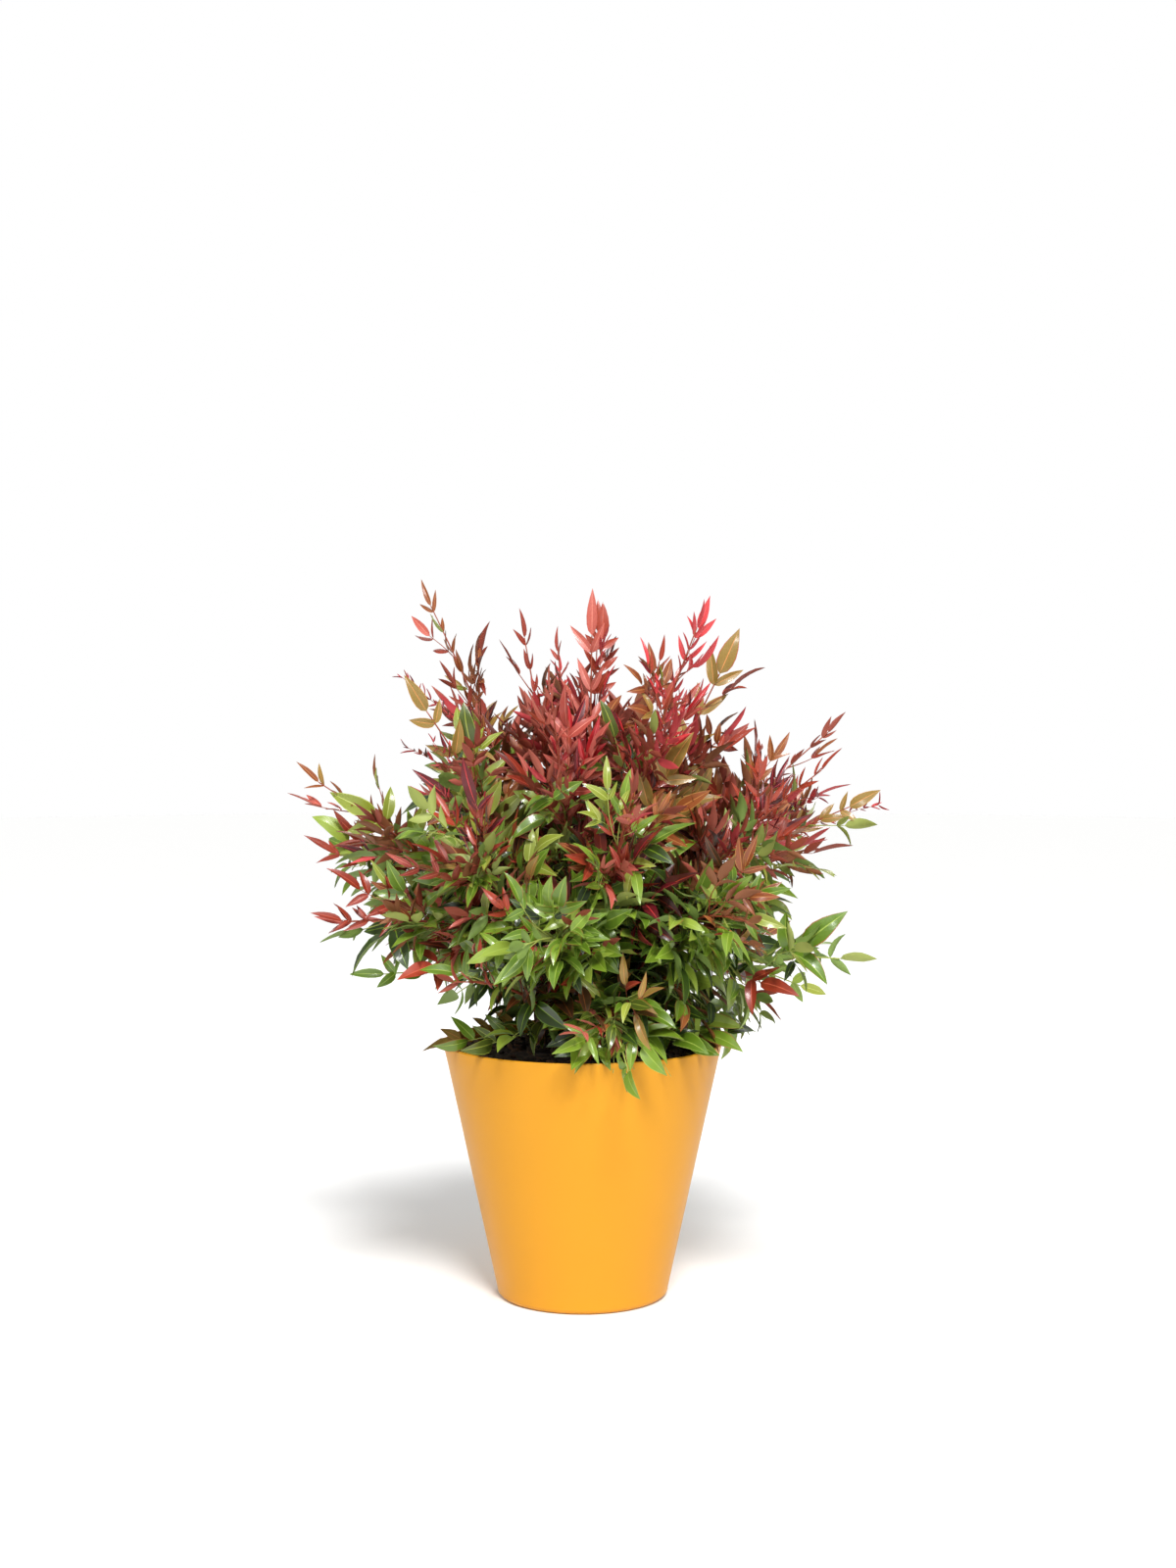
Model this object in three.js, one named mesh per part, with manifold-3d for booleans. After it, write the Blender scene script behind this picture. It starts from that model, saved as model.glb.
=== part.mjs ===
// Heavenly bamboo (Nandina domestica), a dwarf clump in a tapered round planter.
// Millimetres and degrees, +Z up, origin at the centre of the planter's flat underside.
//
// Canes rise from the potting mix and lean outwards. Each mass of foliage is one arching stem
// that continues a cane or leaves its side, with twigs set round it by the golden angle. A twig
// ends in a pointed leaflet and carries pairs of them. A mass keeps to the space that lies nearer
// to its own stem than to any other, so no two masses touch.

import * as THREE from 'three';
import { mergeVertices } from 'three/addons/utils/BufferGeometryUtils.js';
import Module from 'manifold-3d';

const wasm = await Module();
wasm.setup();

// ---------------------------------------------------------------- driving dimensions

const PLANTER = {
  height: 270,
  topRadius: 147.5,
  baseRadius: 89,
  wall: 3.5,
  floor: 5,
  footRound: 7,
  sides: 48,
};
const MIX = { belowRim: 14, flatRadius: 62, rise: 6 };
const GAP = 0.3; // between a piece and what carries it
const GOLDEN_ANGLE = 137.5;

// The planter's outer radius at a height above its underside.
const outerRadius = (z) =>
  PLANTER.baseRadius + ((PLANTER.topRadius - PLANTER.baseRadius) * z) / PLANTER.height;

const mixEdge = PLANTER.height - MIX.belowRim;
const mixTop = mixEdge + MIX.rise;
const HEART = new THREE.Vector3(0, 0, mixTop); // every reach and elevation is measured from here

// Limbs have the radii of their foot and tip, and the flat sides and steps that they are made with.
// A cane takes the lower share of its shoot's curve, and its foot flares over a share of the cane.
const CANE = { foot: 4.4, tip: 2.6, sides: 6, steps: 4, share: 0.36, flare: 2, flareShare: 0.3 };
const STEM = { foot: 2.4, tip: 1.6, sides: 4, steps: 3 };
const TWIG = { foot: 1, tip: 0.8, sides: 4, steps: 1 };

// A twig's angle to its stem falls from wide at the mass's foot to close at its tip, and its length
// falls from a ring's longest to a share of it. The last numbers are how far chance shifts each.
const SPREAD = { wide: 52, close: 34, vary: 5, around: 40 };
const TWIG_LENGTH = { shortest: 0.5, vary: 0.12, tries: [1, 0.75, 0.5, 0.3] };
const LIFT = 0.15; // how far a twig turns up towards the light
const HANG = 0.6; // how far a drooping ring's leaflets turn down, as a share of its twigs' droop

// Leaflets shrink from inner at a mass's foot to outer at its tip. One faces away from the axis,
// facingDepth below itself.
const LEAFLET = {
  length: 60,
  width: 24,
  widest: 0.38,
  thickness: 1.6,
  fold: 2.4,
  droop: 0.1,
  inner: 1.25,
  outer: 0.85,
  vary: 0.1,
  roll: 45,
  facingDepth: 60,
};
// Pairs of leaflets stand at shares of a twig, or below a stem's tip, and open by an angle.
const PAIRS = { onTwig: [0.36, 0.72], belowTip: [14, 44], opening: 46, size: 0.9 };

// How many twigs a mass has, the stretch of its stem that they leave from, and its clearances from
// other masses, canes and the planter. A leaflet is left off where its joint adds more than
// seatFaces faces, as it then cuts through another one, or shares less than seatVolume.
const MASS = {
  twigs: 8,
  firstTwig: 0.1,
  lastTwig: 0.88,
  margin: 1.5,
  caneMargin: 2,
  rimMargin: 6,
  seatFaces: 22,
  seatVolume: 0.005,
};
const SEEDS_PER_MASS = 40;

// The crown's rings of shoots. The n-th shoot of a ring stands at azimuth phase + n * 360 / count,
// and its last leaflet ends at elevation[n] and reach[n] from the heart. A ring with a footRadius
// rises on canes of its own, straight up at first for rise times its reach. The others leave the
// flank canes at a share of their length, at the elevation climb. twig is the longest twig's length.
const RINGS = [
  {
    name: 'spire',
    phase: 190,
    footRadius: 8,
    rise: 0.3,
    twig: 46,
    elevation: [82, 88, 84],
    reach: [467, 482, 476],
    tint: ['brick', 'rose', 'crimson'],
  },
  {
    name: 'shoulder',
    phase: 0,
    footRadius: 25,
    rise: 0.34,
    twig: 56,
    elevation: [70, 72, 74, 69, 64, 70, 68],
    reach: [470, 460, 465, 533, 440, 430, 506],
    tint: ['bronze', 'brick', 'rose', 'bronze', 'lime', 'rose', 'crimson'],
  },
  {
    name: 'flank',
    phase: 26,
    footRadius: 43,
    rise: 0.3,
    twig: 62,
    elevation: [48, 50, 52, 46, 48, 53, 49],
    reach: [478, 425, 420, 426, 395, 385, 430],
    tint: ['brick', 'bronze', 'crimson', 'bronze', 'lime', 'brick', 'brick'],
  },
  {
    name: 'apron',
    phase: 0,
    from: 0.3,
    climb: 52,
    twig: 62,
    elevation: [43, 33, 34, 36, 31, 32, 33],
    reach: [416, 355, 345, 390, 335, 310, 340],
    tint: ['lime', 'green', 'brick', 'green', 'brick', 'green', 'bronze'],
  },
  {
    name: 'skirt',
    phase: 26,
    from: 0.15,
    climb: 38,
    twig: 58,
    droop: 0.35,
    elevation: [12, 8, 10, 22, 26, 5, 22],
    reach: [312, 280, 270, 262, 255, 238, 345],
    tint: ['green', 'green', 'green', 'green', 'brick', 'green', 'green'],
  },
];

// ---------------------------------------------------------------- materials

const finish = (color, roughness) =>
  new THREE.MeshStandardMaterial({ color, roughness, metalness: 0 });

const MATERIALS = {
  planter: finish('#f2a93b', 0.5),
  mix: finish('#2f241b', 0.95),
  cane: finish('#5b4632', 0.8),
  green: finish('#476a20', 0.42),
  lime: finish('#9aa548', 0.42),
  bronze: finish('#a86a3c', 0.42),
  brick: finish('#93402c', 0.42),
  rose: finish('#b8584a', 0.42),
  crimson: finish('#c5323b', 0.42),
};

// ---------------------------------------------------------------- solids and meshes

// A closed three.js geometry as a manifold-3d solid.
function solidOf(geometry) {
  const bare = geometry.clone();
  bare.deleteAttribute('normal');
  bare.deleteAttribute('uv');
  const merged = mergeVertices(bare, 1e-4);
  return new wasm.Manifold(
    new wasm.Mesh({
      numProp: 3,
      vertProperties: merged.attributes.position.array,
      triVerts: new Uint32Array(merged.index.array),
    }),
  );
}

function meshOf(solid, name, material) {
  const { vertProperties, triVerts } = solid.getMesh();
  const geometry = new THREE.BufferGeometry()
    .setAttribute('position', new THREE.BufferAttribute(vertProperties, 3))
    .setIndex(new THREE.BufferAttribute(triVerts, 1));
  geometry.computeVertexNormals();
  const mesh = new THREE.Mesh(geometry, material);
  mesh.name = name;
  return mesh;
}

// The largest single body of a solid, with any sealed hollow filled and loose scraps dropped.
function mainBody(solid) {
  return solid.decompose().reduce((a, b) => (b.volume() > a.volume() ? b : a));
}

// ---------------------------------------------------------------- planter and potting mix

// Turns a profile of [radius, height] points about the vertical axis.
function lathed(profile, name, material) {
  const points = profile.map(([radius, height]) => new THREE.Vector2(radius, height));
  const geometry = new THREE.LatheGeometry(points, PLANTER.sides).rotateX(Math.PI / 2);
  const mesh = new THREE.Mesh(geometry, material);
  mesh.name = name;
  return mesh;
}

function planter() {
  const { height, wall, floor, footRound } = PLANTER;
  const foot = [0, 1, 2].map((step) => {
    const angle = (step * Math.PI) / 4;
    const centre = outerRadius(footRound) - footRound;
    return [centre + footRound * Math.sin(angle), footRound * (1 - Math.cos(angle))];
  });
  const rim = [0, 1, 2, 3, 4].map((step) => {
    const angle = (step * Math.PI) / 4;
    const centre = outerRadius(height) - wall / 2;
    return [centre + (wall / 2) * Math.cos(angle), height - (wall / 2) * (1 - Math.sin(angle))];
  });
  const inside = [outerRadius(floor) - wall, floor];
  return lathed([[0, 0], ...foot, ...rim, inside, [0, floor]], 'planter', MATERIALS.planter);
}

function pottingMix() {
  const low = PLANTER.floor + GAP;
  const inner = (z) => outerRadius(z) - PLANTER.wall - GAP;
  const profile = [
    [0, low],
    [inner(low), low],
    [inner(mixEdge), mixEdge],
    [MIX.flatRadius, mixTop],
    [0, mixTop],
  ];
  return lathed(profile, 'potting_mix', MATERIALS.mix);
}

// ---------------------------------------------------------------- directions and chance

const radians = THREE.MathUtils.degToRad;
const share = THREE.MathUtils.lerp;
const UP = new THREE.Vector3(0, 0, 1);

function polar(azimuth, elevation, length = 1) {
  const [a, e] = [radians(azimuth), radians(elevation)];
  const flat = Math.cos(e);
  return new THREE.Vector3(flat * Math.cos(a), flat * Math.sin(a), Math.sin(e)).multiplyScalar(length);
}

// A stream of numbers from 0 to 1 that is the same for the same seed.
function chance(seed) {
  let state = seed * 7919 + 17;
  return () => {
    state = (state * 1664525 + 1013904223) % 4294967296;
    return state / 4294967296;
  };
}

// A number within vary of middle.
const near = (middle, vary, next) => middle + vary * (2 * next() - 1);

// ---------------------------------------------------------------- shoots

// Each shoot is one curve from its foot to the point where its last leaflet starts. On a ring
// with canes the lower share of the curve is the cane, and the rest is the stem of its mass.
function makeShoots() {
  const shoots = [];
  const flank = [];
  RINGS.forEach((ring) => {
    const count = ring.reach.length;
    ring.reach.forEach((reach, n) => {
      const azimuth = ring.phase + (360 * n) / count;
      const toLeaflet = reach - LEAFLET.outer * LEAFLET.length;
      const end = polar(azimuth, ring.elevation[n], toLeaflet).add(HEART);
      let foot;
      let control;
      if (ring.footRadius) {
        foot = polar(azimuth, 0, ring.footRadius).add(HEART).addScaledVector(UP, GAP);
        control = foot.clone().addScaledVector(UP, ring.rise * reach);
      } else {
        foot = flank[n].getPoint(ring.from);
        control = foot.clone().add(polar(azimuth, ring.climb, 0.5 * foot.distanceTo(end)));
      }
      const curve = new THREE.QuadraticBezierCurve3(foot, control, end);
      if (ring.name === 'flank') flank.push(curve);
      shoots.push({
        name: ring.name + '_' + (n + 1),
        curve,
        start: ring.footRadius ? CANE.share : 0,
        twig: ring.twig,
        tint: ring.tint[n],
        droop: ring.droop || 0,
        seed: shoots.length + 1,
      });
    });
  });
  return shoots;
}

// The stretch of a shoot's curve from share low to share high, as points for measuring distances.
function centreline(curve, low, high, steps = 10) {
  return Array.from({ length: steps + 1 }, (_, k) => curve.getPoint(share(low, high, k / steps)));
}

function distanceTo(point, line) {
  const nearest = new THREE.Vector3();
  const distances = line.slice(1).map((end, k) =>
    new THREE.Line3(line[k], end).closestPointToPoint(point, true, nearest).distanceTo(point));
  return Math.min(...distances);
}

// ---------------------------------------------------------------- limbs, twigs and leaflets

// A closed tube through rings of corners. Each ring is a function that gives the place of the corner
// at y and z on a unit circle round the tube. A pointed tube's last ring is a single point.
function tube(rings, sides, pointed = false) {
  const last = rings.length - 1;
  const geometry = new THREE.CylinderGeometry(pointed ? 0 : 1, 1, 1, sides, last);
  const position = geometry.attributes.position;
  for (let i = 0; i < position.count; i++) {
    const spin = new THREE.Vector2(position.getZ(i), position.getX(i)).normalize();
    const corner = rings[Math.round((position.getY(i) + 0.5) * last)](spin.x, spin.y);
    position.setXYZ(i, corner.x, corner.y, corner.z);
  }
  return solidOf(geometry);
}

// The rings of a tapering limb along a curve, from share low to share high of it. across is square
// to the curve, and a limb's flat sides face across and up, not its corners. grow widens it all.
function limbRings(curve, low, high, limb, across, grow = 0) {
  const { foot, tip, steps, flare = 0, flareShare = 1 } = limb;
  return Array.from({ length: steps + 1 }, (_, k) => (y, z) => {
    const t = k / steps;
    const face = new THREE.Vector3().crossVectors(curve.getTangent(share(low, high, t)), across);
    const radius = share(foot, tip, t) + flare * Math.max(0, 1 - t / flareShare) ** 2 + grow;
    const [side, front] = [y - z, y + z].map((part) => part * Math.SQRT1_2 * radius);
    const centre = curve.getPoint(share(low, high, t));
    return centre.addScaledVector(across, side).addScaledVector(face, front);
  });
}

// The direction square to a shoot's flat curve.
function acrossCurve(curve) {
  const chord = new THREE.Vector3().subVectors(curve.getPoint(1), curve.getPoint(0));
  return new THREE.Vector3().crossVectors(curve.getTangent(0), chord).normalize();
}

// A cane leaves the ground straight up, so its foot is cut level.
function cane({ curve, start }, grow = 0) {
  return tube(limbRings(curve, 0, start, CANE, acrossCurve(curve), grow), CANE.sides);
}

// The corners of a leaflet, in its own frame: x along the midrib, y across, z out of its face.
// An octahedron's six corners become its foot, tip, two edges, and the midrib's two faces.
function leafletCorner(x, y, z, length, width) {
  const along = x === 0 ? LEAFLET.widest : (x + 1) / 2;
  const fold = x === 0 && y === 0 ? LEAFLET.fold : 0;
  const droop = LEAFLET.droop * length * Math.max(0, x);
  return new THREE.Vector3(along * length, (y * width) / 2, (z * LEAFLET.thickness) / 2 - fold - droop);
}

// The frame of a leaflet with its foot at a point, pointing along a heading. It faces as nearly the
// same way as face as its heading allows, and is rolled about its midrib.
function leafletFrame(foot, heading, face, roll) {
  const along = heading.clone().normalize();
  const front = face.clone().projectOnPlane(along).normalize().applyAxisAngle(along, roll);
  const across = new THREE.Vector3().crossVectors(front, along);
  return new THREE.Matrix4().makeBasis(along, across, front).setPosition(foot);
}

function leaflet({ frame, length, width }) {
  const geometry = new THREE.OctahedronGeometry(1);
  const position = geometry.attributes.position;
  for (let i = 0; i < position.count; i++) {
    const [x, y, z] = [position.getX(i), position.getY(i), position.getZ(i)].map(Math.round);
    const corner = leafletCorner(x, y, z, length, width).applyMatrix4(frame);
    position.setXYZ(i, corner.x, corner.y, corner.z);
  }
  return solidOf(geometry);
}

// A limb that runs on into a leaflet: its last ring opens out to the leaflet's widest place, and
// the tube closes at the leaflet's tip.
function limbWithLeaflet(curve, low, across, limb, { frame, length, width }) {
  const widest = (y, z) => leafletCorner(0, y, z, length, width).applyMatrix4(frame);
  const tip = () => leafletCorner(1, 0, 0, length, width).applyMatrix4(frame);
  return tube([...limbRings(curve, low, 1, limb, across), widest, tip], limb.sides, true);
}

// Points along a leaflet's two edges and its midrib, for testing its place.
function outlineOf({ frame, length, width }) {
  const [foot, tip] = [-1, 1].map((x) => leafletCorner(x, 0, 0, length, width));
  const middles = [-1, 0, 1].map((y) => leafletCorner(0, y, 0, length, width));
  const points = middles.flatMap((middle) =>
    [foot, tip].flatMap((end) => [0.4, 0.75, 1].map((part) => end.clone().lerp(middle, part))));
  return [tip, ...points].map((point) => point.applyMatrix4(frame));
}

// ---------------------------------------------------------------- the growth rule

// A direction turned away from along, towards a side square to it.
function turned(along, side, angle) {
  return along.clone().multiplyScalar(Math.cos(angle)).addScaledVector(side, Math.sin(angle));
}

// The leaflet that ends a limb and the pairs below it, spread in the limb's plane. pairsAt holds
// the pairs' places on the curve.
function leafletsOn(curve, across, pairsAt, droop, scale, seed) {
  const next = chance(seed);
  const along = curve.getTangent(1);
  const face = new THREE.Vector3().crossVectors(along, across);
  const place = (at, hand) => {
    const size = near(scale * (hand ? PAIRS.size : 1), LEAFLET.vary, next);
    const heading = turned(along, across, radians(hand * PAIRS.opening));
    heading.addScaledVector(UP, -HANG * droop * next());
    const roll = hand ? radians(near(0, LEAFLET.roll, next)) : 0;
    return {
      frame: leafletFrame(curve.getPoint(at), heading, face, roll),
      length: LEAFLET.length * size,
      width: LEAFLET.width * size,
    };
  };
  return [place(1, 0), ...pairsAt.flatMap((at) => [place(at, -1), place(at, 1)])];
}

// A twig of one length. Its leaflets face up, and outwards the further they are from the axis.
function makeTwig(base, direction, length, droop, scale, seed) {
  const curve = new THREE.LineCurve3(base, base.clone().addScaledVector(direction, length));
  const outwards = new THREE.Vector3(base.x, base.y, LEAFLET.facingDepth);
  const across = new THREE.Vector3().crossVectors(outwards, direction).normalize();
  return { curve, across, leaflets: leafletsOn(curve, across, PAIRS.onTwig, droop, scale, seed) };
}

// The twigs of a shoot's mass. A twig leaves the stem at its own golden angle, wide of it near the
// foot and close to it near the tip. One with no room at its full length is tried shorter, and is
// left off where that has no room either.
function growTwigs(shoot, hasRoom) {
  const next = chance(shoot.seed);
  const fits = ({ curve, leaflets }) =>
    hasRoom([0.3, 0.5, 0.7, 0.9].map((part) => curve.getPoint(part))) && hasRoom(outlineOf(leaflets[0]));
  return Array.from({ length: MASS.twigs }, (_, k) => {
    const t = k / (MASS.twigs - 1);
    const at = share(shoot.start, 1, share(MASS.firstTwig, MASS.lastTwig, t));
    const base = shoot.curve.getPoint(at);
    const along = shoot.curve.getTangent(at);
    const around = radians(GOLDEN_ANGLE * k + SPREAD.around * next());
    const side = acrossCurve(shoot.curve).applyAxisAngle(along, around);
    const spread = radians(near(share(SPREAD.wide, SPREAD.close, t), SPREAD.vary, next));
    const direction = turned(along, side, spread).addScaledVector(UP, LIFT - shoot.droop).normalize();
    const full = shoot.twig * near(share(1, TWIG_LENGTH.shortest, t), TWIG_LENGTH.vary, next);
    const scale = share(LEAFLET.inner, LEAFLET.outer, t);
    const seed = SEEDS_PER_MASS * shoot.seed + k;
    return TWIG_LENGTH.tries
      .map((part) => makeTwig(base, direction, part * full, shoot.droop, scale, seed))
      .find(fits);
  }).filter(Boolean);
}

// ---------------------------------------------------------------- a mass of foliage

const insidePlanter = (point) =>
  point.z < PLANTER.height + MASS.rimMargin &&
  Math.hypot(point.x, point.y) < outerRadius(point.z) + MASS.rimMargin;

// Whether points lie in a shoot's own space: nearer to its stem than to any other, and clear of
// every cane and of the planter.
function roomFor(shoot, shoots) {
  const others = shoots.filter((other) => other !== shoot);
  const canes = shoots.filter((other) => other.start);
  return (points) =>
    points.every((point) => {
      const own = distanceTo(point, shoot.line) + MASS.margin;
      return (
        !insidePlanter(point) &&
        others.every((other) => distanceTo(point, other.line) > own) &&
        canes.every((other) => distanceTo(point, other.cane) > CANE.foot + MASS.caneMargin)
      );
    });
}

// The stem and its twigs, each with its last leaflet, and then the pairs that have room.
function makeMass(shoot, shoots) {
  const { curve, start, droop } = shoot;
  const hasRoom = roomFor(shoot, shoots);
  const across = acrossCurve(curve);
  const low = start && start + GAP / curve.getLength();
  const pairsAt = PAIRS.belowTip.map((below) => 1 - below / curve.getLength());
  const seed = SEEDS_PER_MASS * shoot.seed - 1;
  const stem = { curve, leaflets: leafletsOn(curve, across, pairsAt, droop, LEAFLET.outer, seed) };
  const twigs = growTwigs(shoot, hasRoom);
  let mass = twigs.reduce(
    (all, twig) => all.add(limbWithLeaflet(twig.curve, 0, twig.across, TWIG, twig.leaflets[0])),
    limbWithLeaflet(curve, low, across, STEM, stem.leaflets[0]),
  );
  const pairs = [stem, ...twigs].flatMap(({ leaflets }) => leaflets.slice(1));
  pairs.filter((leaf) => hasRoom(outlineOf(leaf))).map(leaflet).forEach((leaf) => {
    const joined = mass.add(leaf);
    const seated = mass.intersect(leaf).volume() > MASS.seatVolume;
    if (seated && joined.numTri() - mass.numTri() <= MASS.seatFaces) mass = joined;
  });
  if (start) return mainBody(mass);
  // A stem that leaves a cane's side is cut back clear of it.
  const canes = shoots.filter((other) => other.start);
  return mainBody(canes.reduce((all, other) => all.subtract(cane(other, GAP)), mass));
}

// ---------------------------------------------------------------- the plant

const plant = new THREE.Group();
plant.name = 'heavenly_bamboo';
plant.add(planter(), pottingMix());

const shoots = makeShoots();
shoots.forEach((shoot) => {
  shoot.line = centreline(shoot.curve, shoot.start, 1);
  shoot.cane = centreline(shoot.curve, 0, shoot.start);
});
shoots.filter((shoot) => shoot.start).forEach((shoot) => {
  plant.add(meshOf(cane(shoot), 'cane_' + shoot.name, MATERIALS.cane));
});
shoots.forEach((shoot) => {
  plant.add(meshOf(makeMass(shoot, shoots), 'foliage_' + shoot.name, MATERIALS[shoot.tint]));
});

export default plant;
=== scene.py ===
"""Heavenly bamboo (Nandina domestica), a dwarf clump in a tapered round planter.

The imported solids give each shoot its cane, its mass of foliage and its reach. This add-on grows the
same shoots by the same rule and carries them on to finer sprays: a stem bears rachises at the golden
angle, a rachis ends in a leaflet and bears pairs of leaflets, and its lowest pairs branch once more.
Metres, +Z up, origin at the centre of the planter's flat underside.
"""

import collections
import functools
import math

import bpy
import numpy as np
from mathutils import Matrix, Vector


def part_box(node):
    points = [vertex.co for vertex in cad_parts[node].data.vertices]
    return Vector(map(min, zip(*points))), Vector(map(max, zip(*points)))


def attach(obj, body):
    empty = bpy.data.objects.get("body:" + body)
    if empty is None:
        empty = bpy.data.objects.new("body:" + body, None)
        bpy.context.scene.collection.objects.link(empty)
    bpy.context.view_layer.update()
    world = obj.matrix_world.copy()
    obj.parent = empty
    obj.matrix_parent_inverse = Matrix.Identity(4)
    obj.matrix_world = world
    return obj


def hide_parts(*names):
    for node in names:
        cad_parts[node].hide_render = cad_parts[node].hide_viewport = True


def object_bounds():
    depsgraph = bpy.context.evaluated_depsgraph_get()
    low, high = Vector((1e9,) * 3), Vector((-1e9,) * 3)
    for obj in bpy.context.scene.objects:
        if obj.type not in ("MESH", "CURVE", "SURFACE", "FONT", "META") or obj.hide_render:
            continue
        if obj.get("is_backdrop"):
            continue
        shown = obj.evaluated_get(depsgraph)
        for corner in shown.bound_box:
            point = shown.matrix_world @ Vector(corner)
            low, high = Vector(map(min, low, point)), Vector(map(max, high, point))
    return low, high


bl_info = {
    "name": "Heavenly Bamboo in a Planter",
    "version": (1, 0, 0),
    "blender": (4, 5, 0),
    "location": "View3D > Sidebar > Heavenly Bamboo",
    "description": "Grows a potted heavenly bamboo round its packed solids",
    "category": "Add Mesh",
}

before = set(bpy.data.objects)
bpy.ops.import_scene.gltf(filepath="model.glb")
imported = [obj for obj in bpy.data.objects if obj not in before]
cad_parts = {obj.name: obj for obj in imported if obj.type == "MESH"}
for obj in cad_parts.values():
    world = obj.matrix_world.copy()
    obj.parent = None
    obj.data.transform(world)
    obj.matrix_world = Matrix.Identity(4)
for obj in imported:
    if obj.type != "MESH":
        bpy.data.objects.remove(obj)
CAD_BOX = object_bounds()

# -------- driving dimensions

MM = 0.001
UP = np.array([0.0, 0.0, 1.0])
GOLDEN_ANGLE = 137.5

_, planter_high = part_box("planter")
mix_low, mix_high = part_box("potting_mix")
PLANTER_HEIGHT, PLANTER_TOP_RADIUS = planter_high.z, planter_high.x
PLANTER_BASE_RADIUS = 89 * MM
PLANTER_WALL, PLANTER_FLOOR, FOOT_ROUND = 3.5 * MM, 5 * MM, 7 * MM
MIX_TOP = mix_high.z
MIX_RISE, MIX_FLAT_RADIUS, MIX_GAP = 6 * MM, 62 * MM, 0.2 * MM
HEART = np.array([0.0, 0.0, MIX_TOP])  # every reach and elevation is measured from here

# The shoots' rings, as in the solids: the n-th shoot of a ring stands at azimuth phase + n * 360 /
# count and ends at elevation[n] and reach[n] millimetres from the heart. A ring with a foot_radius
# rises on its own canes, straight up for rise times its reach. The others leave the flank canes at
# a share of their length, at the elevation climb. twig is the longest twig's length.
RINGS = (
    dict(
        name="spire", phase=190, foot_radius=8, rise=0.3, twig=46,
        elevation=(82, 88, 84), reach=(467, 482, 476), tint=("brick", "rose", "crimson"),
    ),
    dict(
        name="shoulder", phase=0, foot_radius=25, rise=0.34, twig=56,
        elevation=(70, 72, 74, 69, 64, 70, 68), reach=(470, 460, 465, 533, 440, 430, 506),
        tint=("bronze", "brick", "rose", "bronze", "lime", "rose", "crimson"),
    ),
    dict(
        name="flank", phase=26, foot_radius=43, rise=0.3, twig=62,
        elevation=(48, 50, 52, 46, 48, 53, 49), reach=(478, 425, 420, 426, 395, 385, 430),
        tint=("brick", "bronze", "crimson", "bronze", "lime", "brick", "brick"),
    ),
    dict(
        name="apron", phase=0, leaves_at=0.3, climb=52, twig=62,
        elevation=(43, 33, 34, 36, 31, 32, 33), reach=(416, 355, 345, 390, 335, 310, 340),
        tint=("lime", "green", "brick", "green", "brick", "green", "bronze"),
    ),
    dict(
        name="skirt", phase=26, leaves_at=0.15, climb=38, twig=58, droop=0.35,
        elevation=(12, 8, 10, 22, 26, 5, 22), reach=(312, 280, 270, 262, 255, 238, 345),
        tint=("green", "green", "green", "green", "brick", "green", "green"),
    ),
)
CANE_SHARE = 0.36  # the share of a shoot's curve that is cane
# Radii at the foot and at the tip.
CANE_FOOT, CANE_TIP, CANE_FLARE = 4.4 * MM, 2.6 * MM, 2 * MM
STEM_RADII = 2.2 * MM, 0.6 * MM
RACHIS_RADII, FINE_RADII = (0.8 * MM, 0.4 * MM), (0.48 * MM, 0.4 * MM)
YOUNG_RADII = 0.55 * MM, 0.25 * MM
# How many points a stem has below its tip, and a young shoot, a rachis and a branch of one. The
# sides of each kind of tube go by its points.
STEM_POINTS, YOUNG_POINTS, RACHIS_POINTS, FINE_POINTS = 15, 12, 6, 3
STALK_SIDES = {FINE_POINTS: 3, RACHIS_POINTS: 4, YOUNG_POINTS: 4, STEM_POINTS + 1: 8}

# The solids' rule for twigs: their angle to the stem, their length and how chance shifts them.
TWIGS = 8
FIRST_TWIG, LAST_TWIG = 0.1, 0.88
SPREAD_WIDE, SPREAD_CLOSE, SPREAD_VARY, AROUND_VARY = 52, 34, 5, 40
SHORTEST_TWIG, TWIG_VARY = 0.5, 0.12
TWIG_TRIES = (1, 0.75, 0.5, 0.3)
LIFT = 0.15
SOLID_LEAFLET = 60 * MM
INNER_SCALE, OUTER_SCALE = 1.25, 0.85

# -------- how the crown grows

# Where two numbers stand for one measure, chance draws between them. FOLD and BEND, in radians, are
# the least, and the greatest on old and on young leaflets.
WIDTH, FOLD, BEND, TWIST = (0.85, 1.15), (0.22, 0.6, 0.75), (0.1, 1.2, 0.5), 0.35
OLD_SLIMNESS, YOUNG_SLIMNESS = 0.43, 0.22
YOUNG_LIFT, HANG = 0.3, 0.14  # how far young leaflets turn upwards, and settled ones hang
OUTLOOK, SKYWARD = np.array([1.0, 1.0, 0.6]), 0.4  # the way to the light, from any place
# A leaflet's places that stay clear of the planter, how far it hangs there, and how far its foot
# may lie under the rim.
BLADE_TESTS, BLADE_SAG = np.array([[0.45], [0.75], [1.0]]), 0.12
BLADE_CLEARANCE, FOOT_UNDER_RIM = 2.5 * MM, 5 * MM
LOWEST_LEAF = 244 * MM  # leaflets droop over the rim as far as this
# The crown's usual reach by elevation. Leaflets that start well within it, by the first share below,
# are dark at times: painted shade deep in the crown, and old inner leaves are darker too.
ELEVATIONS, USUAL_REACH = (0, 20, 45, 90), (0.21, 0.25, 0.4, 0.46)
PAINTED_SHADE_DEPTH, PAINTED_SHADE_RATE, FLUSHED_SHARE = 0.63, 1.5, 0.3

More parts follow.
